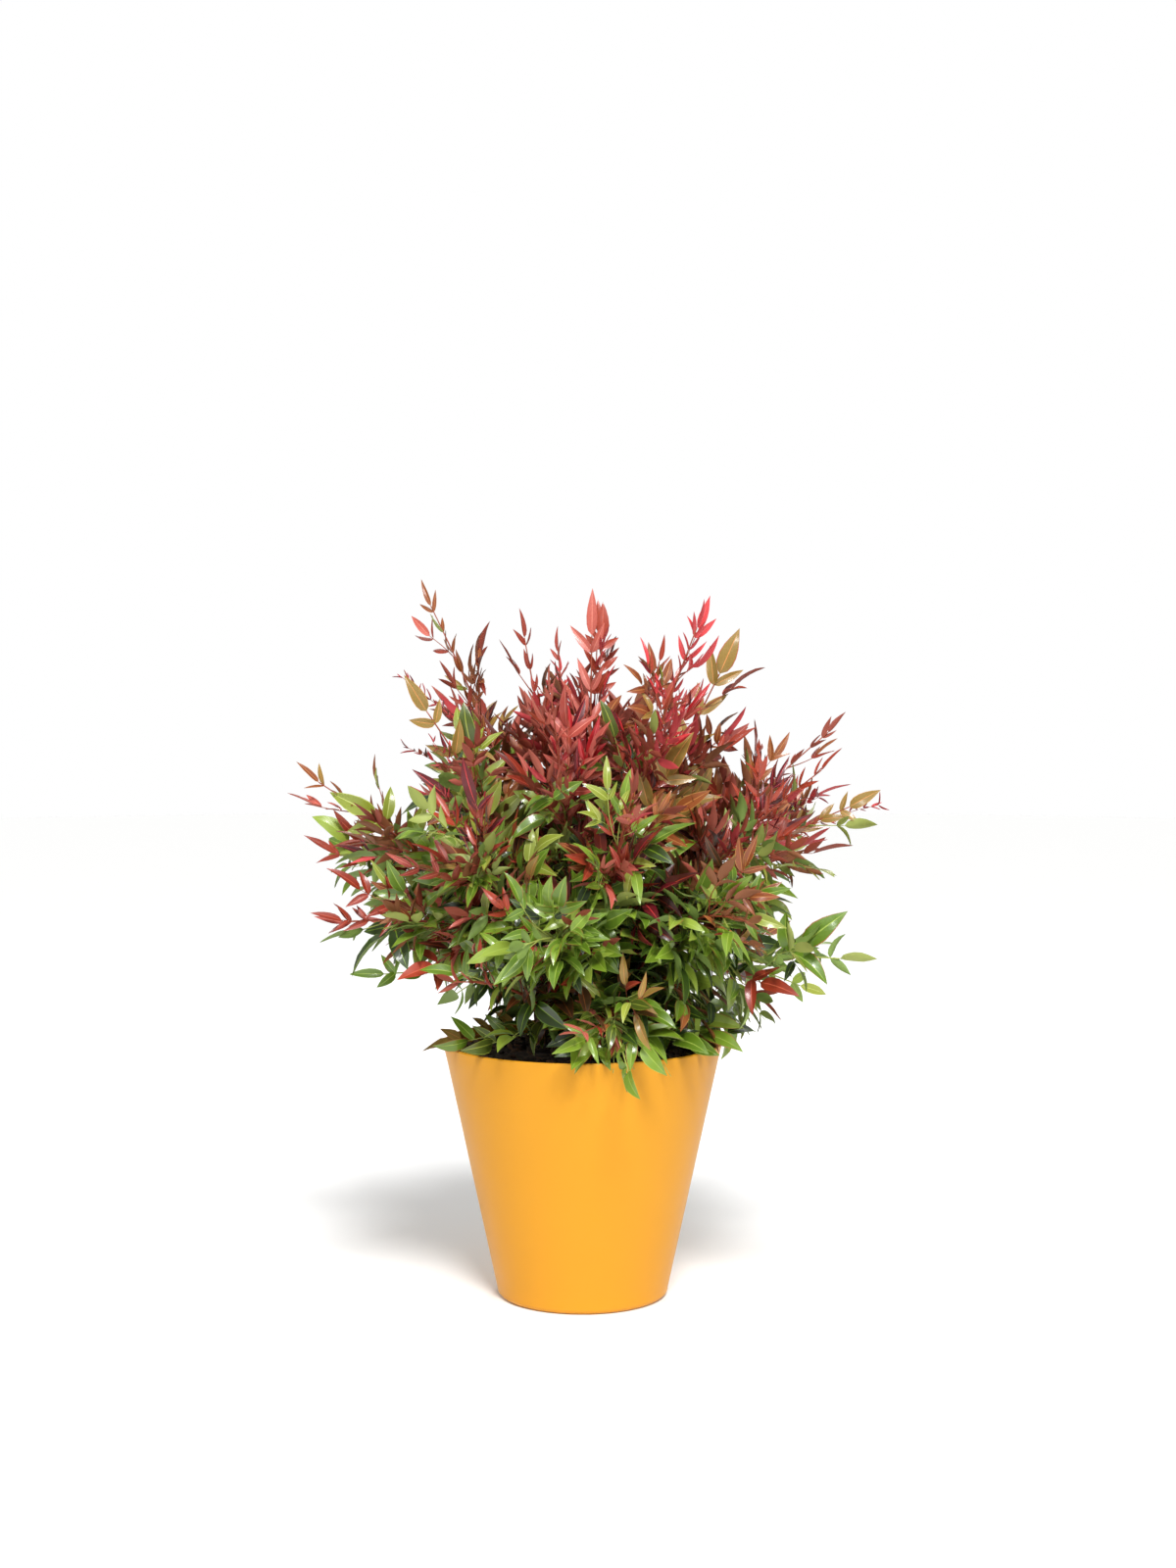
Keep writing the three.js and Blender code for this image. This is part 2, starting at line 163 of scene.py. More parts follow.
# A rachis: how it sags and sways, its leaflets' lengths, its bare foot, the way to its first pair
# and on to the next in leaflets, and how its pairs open, in degrees.
SHORTEST_RACHIS = 0.25  # in leaflets
SAG, YOUNG_RISE, DROOP_SAG, SWAY = (0.02, 0.14), 0.1, 0.35, 0.05
END_LEAFLET, PAIR_LEAFLET, END_ROLL, PAIR_ROLL = (0.9, 1.12), (0.62, 0.92), 0.4, 0.5
BARE_FOOT, FIRST_PAIR, NEXT_PAIR = (0.12, 0.35), (0.1, 0.28), (0.6, 0.82)
OLD_OPENING, YOUNG_OPENING, OPENING_VARY, OPENING_STEP = 58, 36, 7, 3
PAIR_HANG, DROOP_HANG, PAIR_UNREST = 0.32, 0.4, 0.16
# Side sprays: their stalk and leaflets, and the youth from which a second pair is single too.
SIDE_STALK, SIDE_SCALE, YOUNG = (0.4, 0.75), 0.84, 0.6

# Sprays on a stem: their places that need room, how far neighbours mingle near the heart, and the
# share of the stem that only the first round fills.
SPRAY_TESTS, SPRAY_CLEARANCE = np.array([[0.4], [0.7], [0.97]]), 4 * MM
MINGLING, MINGLING_REACH = 0.045, 0.42
FIRST_ROUND_ONLY = 0.82
TINTED_AT = 0.06  # how far out a spray's height is taken for its tint
# A spray faces away from a point this far under its own foot on the planter's axis.
FACING_DEPTH, FACING_VARY = (30 * MM, 170 * MM), (0.25, 0.6)
FACING_LIFT = 25
YOUTH, YOUTH_BY_RED, YOUTH_OUTWARDS, YOUTH_VARY = (0.58, 0.8), 0.6, 0.3, 0.1
STRETCH, FINENESS, SETTLING = (0.75, 1.15), (0.7, 1.06), (0, 0.9)
OLD_SIZE, YOUNG_SIZE, INNER_SIZE, OUTER_SIZE = 1.06, 0.92, 1.12, 0.86

# The end of a stem: the share of its length that bears leaflets, how many pairs are single, and
# how much smaller young leaflets are.
TIP_BEARS, SINGLE_PAIRS, TIP_FINENESS = 0.34, 4, 0.72
TIP_YOUTH, TIP_YOUTH_BY_RED, GREEN_TIP_YOUTH, TIP_VARIED = 0.8, 0.2, 0.3, 0.08
TIP_TURN, TIP_UNREST, BROAD_UNREST, TIP_SPIN = (0.3, 1.2), 0.6, 0.15, 0.3
TIP_END, TIP_CLOSED = 1.05, 4  # its last leaflet's scale, and by how many degrees it opens less
TIP_FIRST, TIP_NEXT, TIP_LEAFLET, TIP_STALK = (0.2, 0.35), (0.5, 0.75), (0.62, 0.9), (0.3, 0.5)

# Old sprays low on each shoot that rises on a cane: how many, between which shares of its curve,
# their angle to it, their reach in leaflets and the point that they face away from.
LOW_SPRAYS, LOW_SPRAYS_FROM, LOW_SPRAYS_TO = 9, 0.1, 0.5
LOW_SPREAD, LOW_REACH, LOW_FACING_DEPTH = (50, 75), (1.7, 2.8), 60 * MM
LOW_END, LOW_RADIUS, LOW_LEFT_OFF = 370 * MM, 170 * MM, 0.85  # few sprays end so low, so far out
# The crown is thin below this height on its left side.
OPEN_AZIMUTH, OPEN_HALF_WIDTH, OPEN_TOP, OPEN_RADIUS = 195, 60, 375 * MM, 100 * MM
# Shoots that end in few sprays: the share left out at their tip.
SPARSE = {
    "spire_2": 0.6, "shoulder_1": 0.5, "shoulder_4": 0.65, "shoulder_5": 0.9, "shoulder_7": 0.5,
    "flank_1": 0.4, "flank_4": 0.6, "apron_1": 0.3, "apron_4": 0.75, "apron_5": 0.2,
    "apron_7": 0.3, "skirt_1": 0.9, "skirt_4": 0.9, "skirt_5": 0.6, "skirt_6": 0.3,
    "skirt_7": 0.9,
}
# A young shoot: how often and how far it winds, its arch, the share of it that is bare, and its
# leaflets' gap, lengths in millimetres, opening in degrees and disorder.
WINDING, WINDING_WIDTH, ARCH = 5, 0.05, 0.12
TINY_FROM, TINY_GAP, TINY_LEAFLET, TINY_OPENING = 0.25, 8 * MM, (8, 17), (25, 75)
TINY_SPIN, TINY_UNREST = 0.9, 0.3

# -------- tints

# Blade colours by the record's slots, as leaves turn from green to crimson. Each leaflet takes one,
# with the slot's paler midrib and its duller underside. Old leaflets have a margin too, pale or
# flushed where the leaf has started to turn.
BLADES = {
    "green": ("#5c7a1b", "#738f25", "#293d0e", "#8ba038"),
    "lime": ("#86922f", "#9aa33f", "#4a5719"),
    "bronze": ("#874622", "#99562b", "#472a15", "#917536"),
    "brick": ("#882d1b", "#a03c27", "#3f150e"),
    "rose": ("#a7463a", "#be5e50", "#66251c"),
    "crimson": ("#b9242a", "#d43b3e", "#5d121a"),
}
SLOTS = tuple(BLADES)
DARKEST = 2  # the number of each slot's darkest blade, which leaves deep in the crown take as painted shade; old inner leaves are darker too
RIBS = dict(zip(SLOTS, ("#98ae48", "#bdc670", "#cc8a4c", "#bc543c", "#dc8674", "#e26064")))
UNDERSIDES = dict(zip(SLOTS, ("#748c42", "#9aa554", "#8b5535", "#8c3d2b", "#b05c4c", "#b23a3d")))
GLOSS = dict(zip(SLOTS, (0.6, 0.4, 0.3, 0.25, 0.2, 0.3)))
PALE_MARGINS = {"green": "#91a944", "lime": "#b6c062", "bronze": "#bd8746"}
FLUSHED_MARGINS = {"green": "#966030", "lime": "#a86c3a", "bronze": "#a84a2a"}
GREEN_TINTS = {"green", "lime"}
# What a leaflet's tint may turn into.
TURNS = {
    "green": ("green", "lime"),
    "lime": ("green", "bronze"),
    "bronze": ("lime", "brick"),
    "brick": ("bronze", "rose"),
    "rose": ("brick", "crimson"),
    "crimson": ("rose", "brick"),
}
# How the tints are dealt out to sprays at three heights, in parts of a hundred by slot.
LOW, MIDDLE, HIGH = 0.405, 0.49, 0.62
DEAL = ((76, 7, 9, 7, 1, 0), (15, 9, 28, 32, 9, 7), (0, 0, 25, 40, 20, 15))
# How often a spray takes its own mass's tint instead, and how much less often so low down.
OWN_TINT, OWN_TINT_LOW = 0.42, 0.35
TINTED_FROM, PALE_FROM = 0.3, 0.6  # shares of a stem from which sprays do so, and are never dark
CRIMSON_DULL_BELOW = 0.54  # crimson sprays that start lower have turned dark

# Sprays that stand out: shoot, share of its curve, azimuth and elevation in degrees, reach and
# leaflet length in millimetres, slot, number of the blade colour, youth, and the azimuth that the
# leaflets face.
ACCENTS = (
    ("spire_2", 0.74, 176, 76, 110, 44, "rose", 1, 0.6, 262),
    ("spire_3", 0.85, 20, 84, 128, 38, "brick", 1, 0.5, 290),
    ("shoulder_6", 0.8, 285, 72, 118, 48, "rose", 0, 0.45, 280),
    ("shoulder_1", 0.62, 340, 72, 118, 48, "bronze", 3, 0.4, 285),
    ("shoulder_7", 0.55, 322, 56, 146, 50, "bronze", 3, 0.35, 282),
    ("shoulder_7", 0.48, 332, 42, 132, 46, "bronze", 3, 0.35, 285),
    ("shoulder_1", 0.5, 0, 54, 152, 48, "bronze", 3, 0.4, 285),
    ("flank_1", 0.6, 352, 66, 116, 36, "brick", 1, 0.75, 290),
    ("flank_1", 0.78, 8, 60, 108, 36, "bronze", 1, 0.75, 290),
    ("shoulder_7", 0.9, 330, 64, 104, 34, "crimson", 1, 0.85, 300),
    ("flank_4", 0.68, 185, 46, 158, 52, "lime", 0, 0.1, 250),
    ("flank_4", 0.55, 200, 52, 140, 50, "green", 1, 0.1, 240),
    ("apron_4", 0.8, 190, 30, 110, 50, "green", 3, 0.1, 235),
    ("apron_4", 0.7, 188, 14, 124, 36, "brick", 1, 0.7, 250),
    ("apron_4", 0.6, 200, 30, 128, 36, "brick", 0, 0.7, 250),
    ("shoulder_5", 0.78, 215, 78, 108, 50, "lime", 2, 0.05, 260),
    ("shoulder_5", 0.7, 205, 66, 112, 52, "lime", 0, 0.05, 255),
    ("shoulder_5", 0.62, 206, 54, 120, 54, "lime", 1, 0.05, 258),
    ("shoulder_5", 0.52, 222, 44, 118, 52, "lime", 1, 0.05, 262),
    ("flank_5", 0.76, 205, 8, 116, 34, "rose", 0, 0.75, 250),
    ("apron_5", 0.75, 200, 6, 118, 32, "brick", 0, 0.75, 255),
    ("apron_5", 0.85, 215, -35, 78, 56, "green", 2, 0.1, 240),
    ("apron_5", 0.35, 212, -10, 122, 44, "brick", 1, 0.1, 262),
    ("apron_5", 0.7, 195, 25, 122, 38, "brick", 0, 0.5, 250),
    ("flank_6", 0.58, 272, 56, 100, 50, "green", 0, 0.1, 270),
    ("apron_6", 0.25, 300, 46, 112, 54, "lime", 1, 0.1, 268),
    ("apron_7", 0.55, 285, 40, 108, 50, "green", 0, 0.15, 285),
    ("skirt_7", 0.82, 335, 34, 82, 58, "green", 0, 0.05, 285),
    ("skirt_7", 0.5, 318, -8, 108, 48, "brick", 0, 0.2, 290),
    ("skirt_1", 0.8, 40, 20, 90, 56, "green", 0, 0.05, 300),
    ("flank_3", 0.75, 130, 50, 120, 50, "bronze", 0, 0.2, 120),
    ("shoulder_2", 0.8, 70, 70, 100, 48, "bronze", 0, 0.1, 80),
    ("flank_5", 0.12, 202, -2, 138, 42, "green", 0, 0.1, 240),
    ("flank_4", 0.1, 196, -3, 128, 38, "bronze", 3, 0.15, 230),
    ("flank_5", 0.12, 224, -3, 130, 42, "lime", 2, 0.1, 250),
    ("flank_5", 0.16, 243, -4, 132, 42, "green", 3, 0.1, 260),
    ("flank_6", 0.12, 262, 0, 130, 46, "green", 1, 0.1, 265),
    ("flank_6", 0.16, 290, 0, 134, 46, "green", 2, 0.1, 285),
    ("flank_6", 0.14, 306, 0, 138, 46, "green", 1, 0.1, 290),
    ("flank_7", 0.12, 320, 0, 134, 44, "green", 0, 0.1, 292),
    ("flank_7", 0.16, 338, 0, 130, 44, "green", 3, 0.1, 300),
    ("skirt_6", 0.3, 285, 30, 92, 44, "green", 1, 0.1, 280),
    ("apron_7", 0.3, 290, 5, 100, 46, "green", 3, 0.1, 282),
    ("skirt_5", 0.3, 265, 24, 92, 42, "green", 0, 0.1, 268),
    ("flank_7", 0.13, 329, -3, 142, 46, "green", 1, 0.1, 298),
    ("flank_7", 0.1, 304, 2, 142, 46, "green", 0, 0.1, 290),
    ("skirt_7", 0.25, 300, 22, 96, 44, "green", 3, 0.1, 285),
)
# Stems whose end stands out: the leaflets' length in millimetres, slot, number of the blade colour,
# youth, and the azimuth that they face.
BROAD_TIPS = {
    "spire_2": (47, "rose", 1, 0.8, 265),
    "spire_3": (34, "brick", 1, 0.8, 290),
    "shoulder_5": (42, "bronze", 3, 0.3, 255),
    "shoulder_1": (50, "bronze", 3, 0.45, 280),
    "apron_1": (36, "bronze", 3, 0.45, 300),
}
# Young shoots: shoot, share of its curve, azimuth, elevation, reach.
YOUNG_SHOOTS = (
    ("shoulder_4", 0.7, 184, 42, 140),
    ("shoulder_5", 0.82, 195, 30, 80),
    ("shoulder_5", 0.7, 205, 52, 115),
    ("flank_5", 0.7, 190, 60, 120),
    ("apron_1", 0.72, 2, 20, 122),
    ("flank_7", 0.8, 330, 28, 100),
    ("flank_2", 0.75, 95, 40, 110),
    ("shoulder_3", 0.75, 130, 60, 115),
)


def linear(hex_colour):
    """An sRGB hex colour as linear RGBA."""
    parts = [int(hex_colour[i : i + 2], 16) / 255 for i in (1, 3, 5)]
    return [c / 12.92 if c <= 0.04045 else ((c + 0.055) / 1.055) ** 2.4 for c in parts] + [1.0]


# -------- settings


def colour_setting(name, description, default):
    return bpy.props.FloatVectorProperty(
        name=name, description=description, size=4, subtype="COLOR", min=0, max=1, default=default
    )


class PlanterSettings(bpy.types.PropertyGroup):
    wall: bpy.props.FloatProperty(
        name="Wall", description="Thickness of the moulded wall", default=PLANTER_WALL, unit="LENGTH"
    )
    colour: colour_setting("Colour", "Colour of the moulded plastic", linear("#d99623"))


class FoliageSettings(bpy.types.PropertyGroup):
    rounds: bpy.props.IntProperty(
        name="Rounds", description="How many rounds of sprays each stem bears", default=8
    )
    leaflet: bpy.props.FloatProperty(
        name="Leaflet", description="Length of a middling leaflet", default=48 * MM, unit="LENGTH"
    )
    overlap: bpy.props.FloatProperty(
        name="Overlap", description="How far a spray may reach into its neighbour's space",
        default=8 * MM, unit="LENGTH",
    )


class StageSettings(bpy.types.PropertyGroup):
    floor_colour: colour_setting("Floor", "Colour of the studio floor", linear("#f6f6f5"))
    key_power: bpy.props.FloatProperty(
        name="Key light", description="Strength of the key light", default=2.95, min=0
    )
    sky: bpy.props.FloatProperty(
        name="Soft light", description="Strength of the sky at the horizon, a third of that overhead",
        default=0.17, min=0,
    )


# -------- directions and chance


def unit(v):
    return v / np.linalg.norm(v, axis=-1, keepdims=True)


def polar(azimuth, elevation, length=1.0):
    a, e = math.radians(azimuth), math.radians(elevation)
    return length * np.array([math.cos(e) * math.cos(a), math.cos(e) * math.sin(a), math.sin(e)])


def spun(v, axis, angle):
    """v turned about a unit axis: its part along the axis stays, the rest turns."""
    along = axis * (v @ axis)
    return along + (v - along) * math.cos(angle) + np.cross(axis, v) * math.sin(angle)


def leaning(along, side, angle):
    """A direction turned away from along, towards a side square to it."""
    return along * math.cos(angle) + side * math.sin(angle)


def heading_at(line, s):
    """The direction of a line over the twentieth before share s. line gives the place at a share."""
    return unit(line(s) - line(s - 1 / 20))


def chance(seed):
    """The solids' stream of numbers from 0 to 1: a linear congruential rule."""
    state = seed * 7919 + 17
    while True:
        state = (state * 1664525 + 1013904223) % 2**32
        yield state / 2**32


def near(middle, vary, stream):
    return middle + vary * (2 * next(stream) - 1)


def mixed(low, high, t):
    return low + (high - low) * t


# -------- shoots


class Curve:
    """A curve with one control point: the weights are (1-t)^2, 2t(1-t) and t^2."""

    def __init__(self, foot, control, end):
        self.points = np.array([foot, control, end])

    def at(self, t):
        t = np.asarray(t, float)[..., None]
        return np.concatenate([(1 - t) ** 2, 2 * t * (1 - t), t**2], -1) @ self.points

    def tangent(self, t):
        t = np.asarray(t, float)[..., None]
        return unit(np.concatenate([t - 1, 1 - 2 * t, t], -1) @ self.points)

    def across(self):
        """The direction square to the curve's plane."""
        return unit(np.cross(self.tangent(0.0), self.points[2] - self.points[0]))

    def length(self):
        steps = np.diff(self.at(np.linspace(0, 1, 40)), axis=0)
        return float(np.linalg.norm(steps, axis=1).sum())


# start is the share of the curve that is cane, and line holds points along the rest of it.
Shoot = collections.namedtuple("Shoot", "name curve start line twig droop tint seed")


@functools.cache
def make_shoots():
    """Each shoot is one curve from its foot to the point where the solid's last leaflet starts."""
    shoots, flank = [], []
    for ring in RINGS:
        start = CANE_SHARE if "foot_radius" in ring else 0
        for n, reach in enumerate(ring["reach"]):
            azimuth = ring["phase"] + 360 * n / len(ring["reach"])
            to_leaflet = MM * reach - OUTER_SCALE * SOLID_LEAFLET
            end = HEART + polar(azimuth, ring["elevation"][n], to_leaflet)
            if start:
                foot = HEART + polar(azimuth, 0, MM * ring["foot_radius"])
                control = foot + UP * MM * ring["rise"] * reach
            else:
                foot = flank[n].at(ring["leaves_at"])
                control = foot + polar(azimuth, ring["climb"], 0.5 * np.linalg.norm(end - foot))
            curve = Curve(foot, control, end)
            if ring["name"] == "flank":
                flank.append(curve)
            name, seed = f"{ring['name']}_{n + 1}", len(shoots) + 1
            line = curve.at(np.linspace(start, 1, 11))
            habit = ring["twig"], ring.get("droop", 0), ring["tint"][n]
            shoots.append(Shoot(name, curve, start, line, *habit, seed))
    return shoots


def masses(tints):
    """The nodes of the foliage masses with these tints."""
    return ["foliage_" + shoot.name for shoot in make_shoots() if shoot.tint in tints]


def distances(points, lines):
    """Each point's distance to each line of points: to the nearest place on its stretches."""
    low, run = lines[:, :-1], np.diff(lines, axis=1)
    gap = points[:, None, None] - low
    share = np.clip((gap * run).sum(-1) / (run * run).sum(-1), 0, 1)
    return np.linalg.norm(gap - share[..., None] * run, axis=-1).min(-1)


def outer_radius(z):
    return mixed(PLANTER_BASE_RADIUS, PLANTER_TOP_RADIUS, z / PLANTER_HEIGHT)


def in_planter(points, margin):
    """Whether points lie in the planter or its filling, or within a margin of them."""
    radius, z = np.hypot(points[..., 0], points[..., 1]), points[..., 2]
    over_mix = (radius < outer_radius(z) - PLANTER_WALL - margin) & (z > MIX_TOP + margin)
    return (z < PLANTER_HEIGHT + margin) & (radius < outer_radius(z) + margin) & ~over_mix


# -------- sprays

# What the leaflets of a spray have in common: their tint, how young they are, how far they droop, how
# far they have turned to the light, and how often one differs in tint.
Habit = collections.namedtuple("Habit", "tint youth droop settled varied", defaults=(0.0, 0.0, 0.12))
Leaflet = collections.namedtuple(
    "Leaflet", "foot heading front length width fold bend twist wave shade flushed"
)
Stalk = collections.namedtuple("Stalk", "points foot tip across")


def columns_of(rows):
    """Rows of one named tuple as a single one, whose fields are whole arrays."""
    return type(rows[0])(*map(np.array, zip(*rows)))


def depth_share(point):
    """How far out a point lies: 0 at the heart of the plant, 1 at the crown's usual reach."""
    span = point - HEART
    distance = np.linalg.norm(span)
    elevation = math.degrees(math.asin(span[2] / distance))
    return distance / np.interp(elevation, ELEVATIONS, USUAL_REACH)


class Crown:
    """What has grown: leaflets by slot, and stalks as lines of points with their radii."""

    def __init__(self, leaflet):
        self.leaflet = leaflet
        self.leaves = {slot: [] for slot in SLOTS}
        self.stalks = {"red": [], "green": []}

    def add_leaf(self, foot, heading, face, roll, length, habit, luck):
        """One leaflet: its frame, its size and the numbers that bend it. A settled leaflet has turned
        aside from the way out of the crown and hangs a little, so that its face is to the light."""
        youth, settled = habit.youth, habit.settled
        outwards = unit((foot - HEART) * OUTLOOK)
        heading = unit(heading)
        aside = -settled * max(heading @ outwards, 0) * outwards
        heading = unit(heading + aside + (YOUNG_LIFT * youth - HANG * settled) * UP)
        face = mixed(face, outwards + SKYWARD * UP, settled)
        front = spun(unit(face - heading * (face @ heading)), heading, roll)
        reach = foot + heading * length * BLADE_TESTS
        reach[1:] -= UP * BLADE_SAG * length
        too_low = reach[2, 2] < LOWEST_LEAF or foot[2] < PLANTER_HEIGHT - FOOT_UNDER_RIM
        if in_planter(reach, BLADE_CLEARANCE).any() or too_low:
            return
        slot, shade = habit.tint
        if luck.random() < habit.varied:
            slot = TURNS[slot][luck.integers(2)]
        if luck.random() < 2 * habit.varied:
            shade = luck.integers(len(BLADES[slot]))
        # Painted shade: the nearer a leaflet starts to the heart, the more often it takes the darkest
        # blade; old inner leaves are darker too.
        if luck.random() < PAINTED_SHADE_RATE * (PAINTED_SHADE_DEPTH - depth_share(foot)):
            shade = DARKEST
        slimness = mixed(OLD_SLIMNESS, YOUNG_SLIMNESS, youth) * luck.uniform(*WIDTH)
        fold, bend = (luck.uniform(low, mixed(old, young, youth)) for low, old, young in (FOLD, BEND))
        twist, wave = luck.normal(0, TWIST), luck.uniform(0, math.tau)
        looks = shade % len(BLADES[slot]), luck.random() < FLUSHED_SHARE
        shape = length, length * slimness, fold, bend, twist, wave
        self.leaves[slot].append(Leaflet(foot, heading, front, *shape, *looks))

    def add_stalk(self, points, radii, habit, across):
        kind = "green" if habit.tint[0] in GREEN_TINTS else "red"
        self.stalks[kind].append(Stalk(points, *radii, across))

    def add_spray(self, base, direction, across, reach, size, habit, luck, branched=True):
        """A compound leaf: a rachis that sags by the square of its length, with a leaflet at its
        end, a pair just below that, and further pairs down to its bare foot. On an old leaf the
        further pairs are small sprays of three leaflets themselves."""
        youth, droop = habit.youth, habit.droop
        length = max(reach - size, SHORTEST_RACHIS * size)
        sag = luck.uniform(*SAG) - YOUNG_RISE * youth + DROOP_SAG * droop
        sway = luck.normal(0, SWAY)

        def at(s):
            s = np.asarray(s, float)[..., None]
            along = direction * s - UP * sag * s**2 + across * sway * np.sin(math.pi * s)
            return base + length * along

        radii, count = (RACHIS_RADII, RACHIS_POINTS) if branched else (FINE_RADII, FINE_POINTS)
        self.add_stalk(at(np.linspace(0, 1, count)), radii, habit, across)
        tip = heading_at(at, 1.0)
        roll = luck.normal(0, END_ROLL)
        end = size * luck.uniform(*END_LEAFLET)
        self.add_leaf(at(1.0), tip, np.cross(tip, across), roll, end, habit, luck)
        opening = mixed(OLD_OPENING, YOUNG_OPENING, youth)
        bare = luck.uniform(*BARE_FOOT)
        below = size * luck.uniform(*FIRST_PAIR)
        pair = 0
        while below < length * (1 - bare):
            s = 1 - below / length
            along = heading_at(at, s)
            face = np.cross(along, across)
            for hand in (-1, 1):
                turn = math.radians(opening + luck.normal(0, OPENING_VARY) + OPENING_STEP * pair)
                hang = (DROOP_HANG * droop + PAIR_HANG * (1 - youth)) * luck.random()
                out = unit(leaning(along, hand * across, turn) - UP * hang)
                out = unit(out + PAIR_UNREST * luck.normal() * face)
                if branched and pair >= (1 if youth < YOUNG else 2):
                    side = unit(np.cross(face, out))
                    stalk = size * luck.uniform(*SIDE_STALK)
                    part = SIDE_SCALE * size
                    self.add_spray(at(s), out, side, stalk + part, part, habit, luck, False)
                else:
                    leaf = size * luck.uniform(*PAIR_LEAFLET)
                    roll = luck.normal(0, PAIR_ROLL)
                    self.add_leaf(at(s), out, face, roll, leaf, habit, luck)
            below += size * luck.uniform(*NEXT_PAIR)
            pair += 1


def redness(slot):
    return SLOTS.index(slot) / (len(SLOTS) - 1)


def tint_of(shoot, height, t, luck):
    """A spray's tint: its own mass's for about half of the outer ones, and for the rest the deal at
    its height."""
    own = OWN_TINT * np.interp(height, (LOW, HIGH), (OWN_TINT_LOW, 1))
    if t > TINTED_FROM and luck.random() < own:
        slot = shoot.tint
    else:
        parts = [np.interp(height, (LOW, MIDDLE, HIGH), column) for column in zip(*DEAL)]
        slot = SLOTS[luck.choice(len(SLOTS), p=np.array(parts) / sum(parts))]
    shade = int(luck.integers(len(BLADES[slot]) if t < PALE_FROM else DARKEST))
    return slot, DARKEST if slot == "crimson" and height < CRIMSON_DULL_BELOW else shade


def is_open(end, luck):
    """Whether a low spray that ends here is left out, so that the crown is open: at most places
    far out, and everywhere on the plant's open side."""
    x, y, z = end
    radius = math.hypot(x, y)
    if z < LOW_END and radius > LOW_RADIUS and luck.random() < LOW_LEFT_OFF:
        return True
    off_side = (math.degrees(math.atan2(y, x)) - OPEN_AZIMUTH + 180) % 360 - 180
    return abs(off_side) < OPEN_HALF_WIDTH and z < OPEN_TOP and radius > OPEN_RADIUS


@functools.cache
def grow(leaflet, rounds, overlap):
    """The whole crown."""
    crown = Crown(leaflet)
    shoots = make_shoots()
    lines = np.array([shoot.line for shoot in shoots])
    for index, shoot in enumerate(shoots):

        def has_room(points):
            """Whether the points lie nearer this shoot than any other. The border between two
            shoots is wide near the heart of the plant, and narrows outwards."""
            reach = distances(points, lines)
            depth = np.clip(1 - np.linalg.norm(points - HEART, axis=1) / MINGLING_REACH, 0, 1)
            others = np.delete(reach, index, 1).min(1)
            own_space = reach[:, index] < others + overlap + MINGLING * depth
            return own_space.all() and not in_planter(points, SPRAY_CLEARANCE).any()

        luck = np.random.default_rng(shoot.seed)
        grow_sprays(crown, shoot, rounds, has_room, luck)
        grow_tip(crown, shoot, luck)
        if shoot.start:
            grow_low_sprays(crown, shoot, luck)
    grow_accents(crown)
    return crown


def grow_sprays(crown, shoot, rounds, has_room, luck):
    """A stem's sprays. The first round repeats the solid's twigs, and the others stand between."""
    curve, droop = shoot.curve, shoot.droop
    for turn in range(rounds):
        stream = chance(shoot.seed + 100 * turn)
        for k in range(TWIGS):
            place = k + (turn / rounds if turn else 0)
            t = min(place / (TWIGS - 1), 1)
            left_out = luck.random() < t * SPARSE.get(shoot.name, 0)
            if left_out and (turn or luck.random() < 0.5) or turn and t > FIRST_ROUND_ONLY:
                continue
            at = mixed(shoot.start, 1, mixed(FIRST_TWIG, LAST_TWIG, t))
            base, along = curve.at(at), curve.tangent(at)
            around = math.radians(GOLDEN_ANGLE * place + AROUND_VARY * next(stream))
            side = spun(curve.across(), along, around)
            spread = math.radians(near(mixed(SPREAD_WIDE, SPREAD_CLOSE, t), SPREAD_VARY, stream))
            direction = unit(leaning(along, side, spread) + UP * (LIFT - droop))
            full = MM * shoot.twig * near(mixed(1, SHORTEST_TWIG, t), TWIG_VARY, stream)
            scale = mixed(INNER_SCALE, OUTER_SCALE, t)
            outwards = np.array([base[0], base[1], luck.uniform(*FACING_DEPTH)])
            across = unit(np.cross(outwards, direction))
            across = spun(across, direction, luck.normal(0, mixed(*FACING_VARY, t)))
            tint = tint_of(shoot, base[2] + TINTED_AT * direction[2], t, luck)
            youth = luck.uniform(*YOUTH) * redness(tint[0]) ** YOUTH_BY_RED
            youth = np.clip(youth + YOUTH_OUTWARDS * t + luck.normal(0, YOUTH_VARY), 0, 1)
            stretch = luck.uniform(*STRETCH) if turn else 1
            fineness = luck.uniform(*FINENESS) * mixed(OLD_SIZE, YOUNG_SIZE, youth)
            habit = Habit(tint, youth, droop, (1 - youth) * luck.uniform(*SETTLING))
            for part in TWIG_TRIES:
                reach = stretch * (part * full + scale * SOLID_LEAFLET)
                points = base + direction * reach * SPRAY_TESTS
                if has_room(points) and not is_open(points[2], luck):
                    size = fineness * crown.leaflet * mixed(INNER_SIZE, OUTER_SIZE, t)
                    crown.add_spray(base, direction, across, reach, size, habit, luck)
                    break


